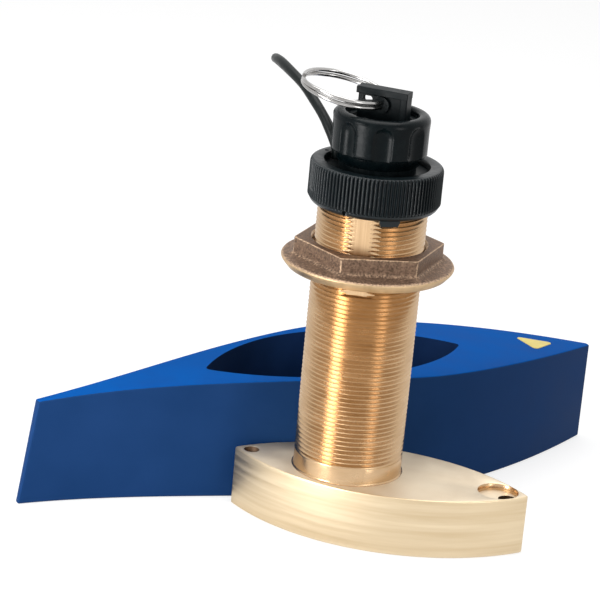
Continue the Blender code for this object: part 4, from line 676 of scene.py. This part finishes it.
def fairing_half_width(u):
    """Half the fairing's width: a drawn-out tail on the left, a fuller bow on the right."""
    s = max(-1.0, min(1.0, 2 * u / FAIRING_LENGTH))
    swell = FAIRING_HALF_WIDTH - FAIRING_TIP_HALF
    if s < FAIRING_WIDEST:
        t = (s + 1) / (1 + FAIRING_WIDEST)
        ease = (1 - math.cos(math.pi * t)) / 2
        part = FAIRING_TAIL_STRAIGHT * min(1.0, max(0.0, (1 - t) * 3))
        return FAIRING_TIP_HALF + swell * ((1 - part) * ease + part * t)
    forward = (s - FAIRING_WIDEST) / (1 - FAIRING_WIDEST)
    return FAIRING_TIP_HALF + swell * (1 - forward ** FAIRING_BOW_POWER)


def fairing_top(u):
    """The height of the crowned top along the fairing."""
    return FAIRING_TIP_HEIGHT + FAIRING_CROWN * (1 - (2 * u / FAIRING_LENGTH) ** 2)


def prism(outline, low, high, place=None):
    """A straight block on an outline of (x, y) points."""
    form = bmesh.new()
    walls = skin(form, *[[form.verts.new((x, y, z)) for x, y in outline] for z in (low, high)])
    for ends in walls:
        form.faces.new(ends)
    form.transform(place or Matrix())
    return form


half = FAIRING_LENGTH / 2
stations = np.linspace(-half, half, 121)
plan = [(u, fairing_half_width(u)) for u in stations]
plan += [(u, -fairing_half_width(u)) for u in stations[::-1]]
side_view = [(-half, -9), (half + 1, -9), (half + 1, fairing_top(half))]
side_view += [(u, fairing_top(u)) for u in stations[-2:3:-2]]
side_view += [(-half + FAIRING_RAKE, fairing_top(-half + FAIRING_RAKE)), (-half, 1.0)]
foot_plan = [(x - FOOT_MIDDLE + POCKET_U, y) for x, y, _ in foot_ring(POCKET_GROW, 0)]
fairing = worked(
    prism(plan, 0, BLOCK_HEIGHT),
    ("INTERSECT", prism(side_view, -THROUGH, THROUGH, Matrix.Rotation(math.radians(90), 4, "X"))),
    ("EDGES", (FAIRING_ROUND, 4, 35)),
    ("DIFFERENCE", prism(foot_plan, POCKET_FLOOR, THROUGH)),
    ("DIFFERENCE", bar(STEM_HOLE_R, THROUGH, (POCKET_U - FOOT_MIDDLE, 0, 30), steps=96)))
arrow_u = half - ARROW_FROM_TIP
arrow_place = (Matrix.Translation((arrow_u, 0, fairing_top(arrow_u)))
               @ Matrix.Rotation(math.atan(8 * FAIRING_CROWN * arrow_u / FAIRING_LENGTH ** 2), 4, "Y"))


def arrow_plan(grow):
    """A triangle with round corners, pointing to the bow."""
    outline = []
    for x, y in ((ARROW_LENGTH / 2, 0), (-ARROW_LENGTH / 2, ARROW_WIDTH / 2),
                 (-ARROW_LENGTH / 2, -ARROW_WIDTH / 2)):
        away = Vector((x, y)).normalized()
        centre = Vector((x, y)) - away * 2 * ARROW_CORNER
        facing = math.atan2(away.y, away.x)
        for bend in np.radians(np.linspace(-60, 60, 11)):
            outline.append((centre.x + (ARROW_CORNER + grow) * math.cos(facing + bend),
                            centre.y + (ARROW_CORNER + grow) * math.sin(facing + bend)))
    return outline


arrow_seat = prism(arrow_plan(ARROW_GAP), ARROW_PROUD - ARROW_THICK - 0.3, 9, arrow_place)
fairing = worked(fairing, ("DIFFERENCE", arrow_seat))
# which blue each face takes, all on one blue polymer: upward faces high up get a lighter blue as painted
# light, the pocket's walls the darkest blue as painted shade, and the other faces a darker, greyer blue as
# painted shade and painted reflection
PAINTED_LIT_TOP, PAINTED_SHADE_SIDES, PAINTED_SHADE_POCKET = range(3)
pocket_side = np.array(sorted(spot for spot in foot_plan if spot[1] >= 0))
for face in fairing.faces:
    middle = face.calc_center_median()
    pocket_half = np.interp(middle.x, *pocket_side.T, left=-1, right=-1)
    if face.normal.z > 0.8 and middle.z > PAINTED_LIT_TOP_ABOVE:
        face.material_index = PAINTED_LIT_TOP
    elif abs(middle.y) < pocket_half + 0.1 and middle.z > 1:
        face.material_index = PAINTED_SHADE_POCKET
    else:
        face.material_index = PAINTED_SHADE_SIDES
# a lighter blue for the top: painted light on the same blue polymer as the sides
blue_top_painted_light = surface("blue_top_painted_light", (0.001, 0.092, 0.39), (0.0005, 0.072, 0.32), (0.5, 0.62), 20,
                      relief=0.01, grit=(0.5, 0.01), contrast=0.8, shine=0.02)
# a darker, greyer blue for the sides: painted shade and painted reflection of the white room on the same
# polymer
blue_sides_painted_shade = surface("blue_sides_painted_shade", (0.013, 0.054, 0.18), (0.009, 0.044, 0.15), (0.5, 0.62), 26,
                       relief=0.02, grit=(0.6, 0.012), contrast=0.9, shine=0.06)
# a still darker blue for the pocket's walls: painted shade inside the pocket
blue_pocket_painted_shade = surface("blue_pocket_painted_shade", (0.006, 0.028, 0.10), (0.004, 0.020, 0.075), (0.5, 0.65), 12,
                      relief=0.02, grit=(0.6, 0.012), contrast=0.9, shine=0.12)
blue_fairing = finished(fairing, "blue_fairing", [blue_top_painted_light, blue_sides_painted_shade, blue_pocket_painted_shade], "transducer",
                        "fairing_blue", "fairing", sharp=30, place=fairing_place)
blue_fairing.modifiers.new("normals", "WEIGHTED_NORMAL").keep_sharp = True
arrow_yellow = surface("arrow_yellow", (0.80, 0.66, 0.20), (0.70, 0.57, 0.16), (0.45, 0.6), 6,
                       grit=(0.5, 0.01))
arrow = prism(arrow_plan(0), ARROW_PROUD - ARROW_THICK, ARROW_PROUD, arrow_place)
finished(worked(arrow, ("EDGES", (0.2, 2, 40))), "arrow_inlay", [arrow_yellow], "transducer",
         "arrow_yellow", "fairing_arrow", place=fairing_place)

# ---------------------------------------------------------------------------------------------
# Cable. A black jacketed cable of 4.6 mm leaves the ring nut beside the cap nut, bends over behind
# the part, and its spare length lies wound in four layers behind the fairing.

CABLE_D = 4.6
# from the gland, up and over to the coil, in millimetres from the stem's axis
cable_route = [
    (-20.6, 6.7, 173.9), (-20.6, 6.7, 177.4), (-22.9, 8.2, 181.9), (-26.2, 11.0, 186.3),
    (-30.3, 15.0, 191.0), (-36.4, 21.0, 195.8), (-43.2, 28.0, 200.4), (-51.4, 37.0, 203.5),
    (-59.5, 48.0, 205.2), (-64.8, 60.0, 203.4), (-66.3, 74.5, 198.8), (-64.2, 89.5, 191.2),
    (-59.6, 104.0, 181.2), (-53.6, 115.5, 168.6), (-46.9, 124.0, 154.0), (-40.7, 129.6, 137.0),
    (-35.3, 133.2, 117.8), (-30.7, 135.2, 97.0), (-27.5, 136.1, 76.2), (-25.3, 136.6, 58.0),
    (-23.9, 137.2, 44.0),
]
# the last of it, as turns round the coil in degrees and heights above the winding
landing = [(226, 14.0), (238, 4.5), (252, 0.8), (267, 0.0)]
# from the coil to the plug, along and across the fairing
tail_route = [
    (42.0, 68.4, 2.3), (41.0, 63.2, 2.5), (37.7, 58.5, 3.6), (32.7, 55.2, 5.6), (26.8, 53.4, 7.8),
    (20.8, 53.0, 9.2), (14.3, 53.0, 9.6),
]
COIL = (96.0, 90.6)
COIL_OUTER_TURN_R, COIL_TURNS, COIL_LAYERS = 54.0, 8, 4
COIL_LAYER_RISE, COIL_NESTING, COIL_TOP = 4.07, 2.14, 16.8
STEP_OVER, WINDING_STEP, CABLE_STEP = 43.0, 9, 4.0


def smooth_route(points, spacing):
    """Even points on the smooth curve that passes through the given points."""
    fine = []
    last = len(points) - 1
    for i in range(last):
        before, begin = Vector(points[max(i - 1, 0)]), Vector(points[i])
        end, after = Vector(points[i + 1]), Vector(points[min(i + 2, last)])
        for step in range(16):
            t = step / 16
            fine.append(0.5 * (2 * begin + (end - before) * t
                               + (2 * before - 5 * begin + 4 * end - after) * t ** 2
                               + (3 * begin - before - 3 * end + after) * t ** 3))
    fine.append(Vector(points[last]))
    walked = np.concatenate([[0], np.cumsum([(b - a).length for a, b in zip(fine, fine[1:])])])
    wanted = np.linspace(0, walked[-1], max(2, round(walked[-1] / spacing)) + 1)
    even = [np.interp(wanted, walked, [v[k] for v in fine]) for k in range(3)]
    return [tuple(p) for p in np.stack(even, 1)]


def lane(k):
    """How far out and how high turn k of the coil lies, wound from the top layer's outside."""
    layer, i = divmod(k, COIL_TURNS)
    out = i if layer % 2 == 0 else COIL_TURNS - 1 - i
    return (COIL_OUTER_TURN_R - (COIL_NESTING if layer % 2 == 0 else 0) - CABLE_D * out,
            CABLE_D / 2 + (COIL_LAYERS - 1 - layer) * COIL_LAYER_RISE)


def on_coil(turn, radius, z):
    """A place on the coil, its turn counted from the fairing's bow."""
    x, y = polar(radius, turn)
    return tuple(fairing_place @ Vector((COIL[0] + x, COIL[1] + y, z)))


landing_z = COIL_TOP + 0.3 + CABLE_D / 2
leg = [tuple(Vector(point) + STEM_AXIS / MM) for point in cable_route]
leg += [on_coil(turn, COIL_OUTER_TURN_R, landing_z + above) for turn, above in landing]
coil_from = landing[-1][0]
winding = []
for turn in np.arange(coil_from + WINDING_STEP, 180 + 360 * COIL_TURNS * COIL_LAYERS + 0.1, WINDING_STEP):
    n = int((turn - coil_from) / 360)
    t = min(1.0, (turn - coil_from - 360 * n) / STEP_OVER)
    ease = t * t * (3 - 2 * t)
    r0, z0 = (COIL_OUTER_TURN_R, landing_z) if n == 0 else lane(n - 1)
    r1, z1 = lane(n)
    winding.append(on_coil(turn, r0 + (r1 - r0) * ease, z0 + (z1 - z0) * ease))
tail = [winding[-1]] + [tuple(fairing_place @ Vector(point)) for point in tail_route]
cord_points = (leg[:1] + smooth_route(leg[1:], CABLE_STEP) + winding
               + smooth_route(tail, CABLE_STEP)[1:])
sensor_cable = wire("sensor_cable", cord_points, CABLE_D / 2, cable_jacket, "transducer", "cable_jacket",
                    "cable", "cable_coil", "cable_tail", at=Vector())

# ---------------------------------------------------------------------------------------------
# Plug. The cable ends in a black moulded plug: a tapered boot with relief rings, a round body with
# grip grooves, and a knurled collar that turns on its nose, round a shell with five pins.

PLUG_ALONG, PLUG_ASIDE, PLUG_R, PLUG_COLLAR_R = 14.0, 53.0, 8.0, 9.6
BOOT_TO, BODY_FROM, NOSE_FROM, NOSE_TO, NOSE_R = -14.0, -16.0, -36.0, -48.0, 6.0
COLLAR_FROM, COLLAR_TO, COLLAR_IN_R = -36.3, -52.3, 6.3
PLUG_PINS, PIN_R, PIN_LENGTH, PIN_AT_R = 5, 0.5, 6.5, 3.0
KNURLS, KNURL_DEPTH, GRIP_GROOVES = 40, 0.45, (-22.0, -25.0, -28.0)
plug_place = (fairing_place @ Matrix.Translation((PLUG_ALONG, PLUG_ASIDE, PLUG_COLLAR_R))
              @ Matrix.Rotation(math.radians(90), 4, "Y"))

boot = [(2.4, 0.0), (3.1, 0.0), (3.3, -0.3)]
for z in np.arange(-1.2, BOOT_TO + 2, -2.4):
    swell = 3.3 + z / BOOT_TO
    boot += [(swell, z), (swell + 0.1, z - 1.1), (swell - 0.6, z - 1.4), (swell - 0.6, z - 2.1)]
boot += [(4.4, BOOT_TO), (PLUG_R - 0.6, BODY_FROM + 0.7), (PLUG_R - 0.1, BODY_FROM),
         (PLUG_R, BODY_FROM - 0.7)]
for z in GRIP_GROOVES:
    boot += [(PLUG_R, z + 0.8), (PLUG_R - 0.7, z + 0.3), (PLUG_R - 0.7, z - 0.3), (PLUG_R, z - 0.8)]
boot += [(PLUG_R, NOSE_FROM + 0.5), (PLUG_R - 0.5, NOSE_FROM), (NOSE_R, NOSE_FROM), (NOSE_R, NOSE_TO + 0.3),
         (NOSE_R - 0.3, NOSE_TO), (NOSE_R - 0.9, NOSE_TO), (NOSE_R - 0.9, NOSE_TO + 7), (0, NOSE_TO + 7)]
plug = turning([(0, 0.0)] + boot, 64)
cable_plug = finished(plug, "moulded_plug", [black_plastic], "transducer", "black_plastic", "cable_plug",
                      sharp=40, place=plug_place)
pins = bmesh.new()
for k in range(PLUG_PINS):
    pin = bar(PIN_R, PIN_LENGTH, polar(PIN_AT_R, 360 * k / PLUG_PINS, NOSE_TO + 3.9), steps=16)
    mesh = bpy.data.meshes.new("pin")
    pin.to_mesh(mesh)
    pins.from_mesh(mesh)
plug_pins = finished(pins, "plug_pins", [nickel_plate], "transducer", "nickel_plate", place=plug_place)
knurl_turns = np.linspace(0, 360, 6 * KNURLS, endpoint=False)
knurl = PLUG_COLLAR_R - KNURL_DEPTH * (np.arange(6 * KNURLS) % 6 < 2)
collar = bmesh.new()
skin(collar, *[circle(r, z, turns=knurl_turns) for r, z in (
    (COLLAR_IN_R, COLLAR_FROM), (PLUG_COLLAR_R - 1.2, COLLAR_FROM),
    (PLUG_COLLAR_R - 0.6, COLLAR_FROM - 0.3),
    (PLUG_COLLAR_R - 0.5, COLLAR_FROM - 1.2), (knurl, COLLAR_FROM - 1.6), (knurl, COLLAR_TO + 2.2),
    (PLUG_COLLAR_R - 0.5, COLLAR_TO + 1.8), (PLUG_COLLAR_R - 0.6, COLLAR_TO + 0.4),
    (PLUG_COLLAR_R - 1.0, COLLAR_TO), (COLLAR_IN_R + 0.8, COLLAR_TO),
    (COLLAR_IN_R + 0.4, COLLAR_TO + 0.4), (COLLAR_IN_R, NOSE_TO))], closed=True)
plug_collar = finished(collar, "knurled_collar", [black_plastic], "transducer", "black_plastic",
                       "plug_collar", sharp=40, place=plug_place)

# ---------------------------------------------------------------------------------------------
# Camera, floor and light. A plain white floor under a soft white studio, seen from the
# photograph's side with a long lens.

AZIMUTH, ELEVATION, ROLL = (math.radians(a) for a in (11.62, 18.25, 5.38))
FOCUS_PX, FRAME_PX, SENSOR_MM = 2882.84, 600, 36.0
DISTANCE, AIM_Z = 1346.0, 60.0
AIM_PX = (353.2, 402.4)
FLOOR_HALF, FLOOR_Z, FLOOR_GREY, FLOOR_GLOW = 3, -0.0003, 0.35, 0.72
STUDIO_SEEN, STUDIO_LIGHT = 1.0, 0.32
LIT_HEIGHT = 0.1
back = Vector((math.sin(AZIMUTH) * math.cos(ELEVATION), -math.cos(AZIMUTH) * math.cos(ELEVATION),
               math.sin(ELEVATION)))
level = Vector((math.cos(AZIMUTH), math.sin(AZIMUTH), 0))
upright = back.cross(level)
right = math.cos(ROLL) * level + math.sin(ROLL) * upright
up = math.cos(ROLL) * upright - math.sin(ROLL) * level
mm_per_px = DISTANCE / FOCUS_PX
eye = (Vector((0, 0, AIM_Z)) - right * (AIM_PX[0] - FRAME_PX / 2) * mm_per_px
       + up * (AIM_PX[1] - FRAME_PX / 2) * mm_per_px + back * DISTANCE) * MM + STEM_AXIS
camera = bpy.data.objects.new("camera", bpy.data.cameras.new("camera"))
bpy.context.scene.collection.objects.link(camera)
camera.data.sensor_width = SENSOR_MM
camera.data.lens = FOCUS_PX * SENSOR_MM / FRAME_PX
camera.matrix_world = Matrix.Translation(eye) @ Matrix((right, up, back)).transposed().to_4x4()
bpy.context.scene.camera = camera


def studio_rays(nodes, links):
    """1 for what the camera sees, by itself or in a reflection, and 0 for the light on the object."""
    rays = nodes.new("ShaderNodeLightPath")
    total = rays.outputs["Is Camera Ray"]
    for kind in ("Is Glossy Ray", "Is Transmission Ray"):
        either = nodes.new("ShaderNodeMath")
        either.operation = "MAXIMUM"
        links.new(total, either.inputs[0])
        links.new(rays.outputs[kind], either.inputs[1])
        total = either.outputs[0]
    return total


floor_mesh = bpy.data.meshes.new("floor")
floor_mesh.from_pydata([(x * FLOOR_HALF, y * FLOOR_HALF, 0) for x, y in ((-1, -1), (1, -1), (1, 1), (-1, 1))],
                       [], [(0, 1, 2, 3)])
floor = bpy.data.objects.new("floor", floor_mesh)
floor.location.z = FLOOR_Z
bpy.context.scene.collection.objects.link(floor)
paper = bpy.data.materials.new("floor_paper")
paper.use_nodes = True
nodes, links = paper.node_tree.nodes, paper.node_tree.links
nodes["Principled BSDF"].inputs["Base Color"].default_value = (FLOOR_GREY, FLOOR_GREY, FLOOR_GREY, 1)
nodes["Principled BSDF"].inputs["Roughness"].default_value = 0.9
glow = nodes.new("ShaderNodeEmission")
both = nodes.new("ShaderNodeAddShader")
strength = nodes.new("ShaderNodeMath")
strength.operation = "MULTIPLY"
strength.inputs[1].default_value = FLOOR_GLOW
links.new(studio_rays(nodes, links), strength.inputs[0])
links.new(strength.outputs[0], glow.inputs["Strength"])
links.new(nodes["Principled BSDF"].outputs[0], both.inputs[0])
links.new(glow.outputs[0], both.inputs[1])
links.new(both.outputs[0], nodes["Material Output"].inputs["Surface"])
floor_mesh.materials.append(paper)

world = bpy.context.scene.world or bpy.data.worlds.new("studio")
bpy.context.scene.world = world
world.use_nodes = True
nodes, links = world.node_tree.nodes, world.node_tree.links
brightness = nodes.new("ShaderNodeMapRange")
brightness.inputs["To Min"].default_value = STUDIO_LIGHT
brightness.inputs["To Max"].default_value = STUDIO_SEEN
links.new(studio_rays(nodes, links), brightness.inputs["Value"])
links.new(brightness.outputs["Result"], nodes["Background"].inputs["Strength"])
nodes["Background"].inputs["Color"].default_value = (1, 1, 1, 1)


def softbox(name, place, size, power):
    """A soft lamp turned to the part, placed in metres from the stem's axis; its power in watts."""
    light = bpy.data.lights.new(name, "AREA")
    light.shape = "RECTANGLE"
    light.size, light.size_y = size
    light.energy = power
    made = bpy.data.objects.new(name, light)
    bpy.context.scene.collection.objects.link(made)
    made.location = STEM_AXIS + Vector(place)
    made.visible_camera = False
    facing = STEM_AXIS + Vector((0, 0, LIT_HEIGHT)) - made.location
    made.rotation_euler = facing.to_track_quat("-Z", "Y").to_euler()


softbox("key_light", (-0.9, -0.9, 0.85), (0.3, 0.45), 5)
softbox("strip_light", (-0.235, -0.348, 0.14), (0.12, 0.26), 1.3)
softbox("fill_light", (0.9, -0.6, 0.5), (0.3, 0.6), 2)
softbox("top_light", (-0.1, 0.2, 1.3), (1.0, 1.0), 11)

bpy.context.scene.view_settings.view_transform = "Standard"
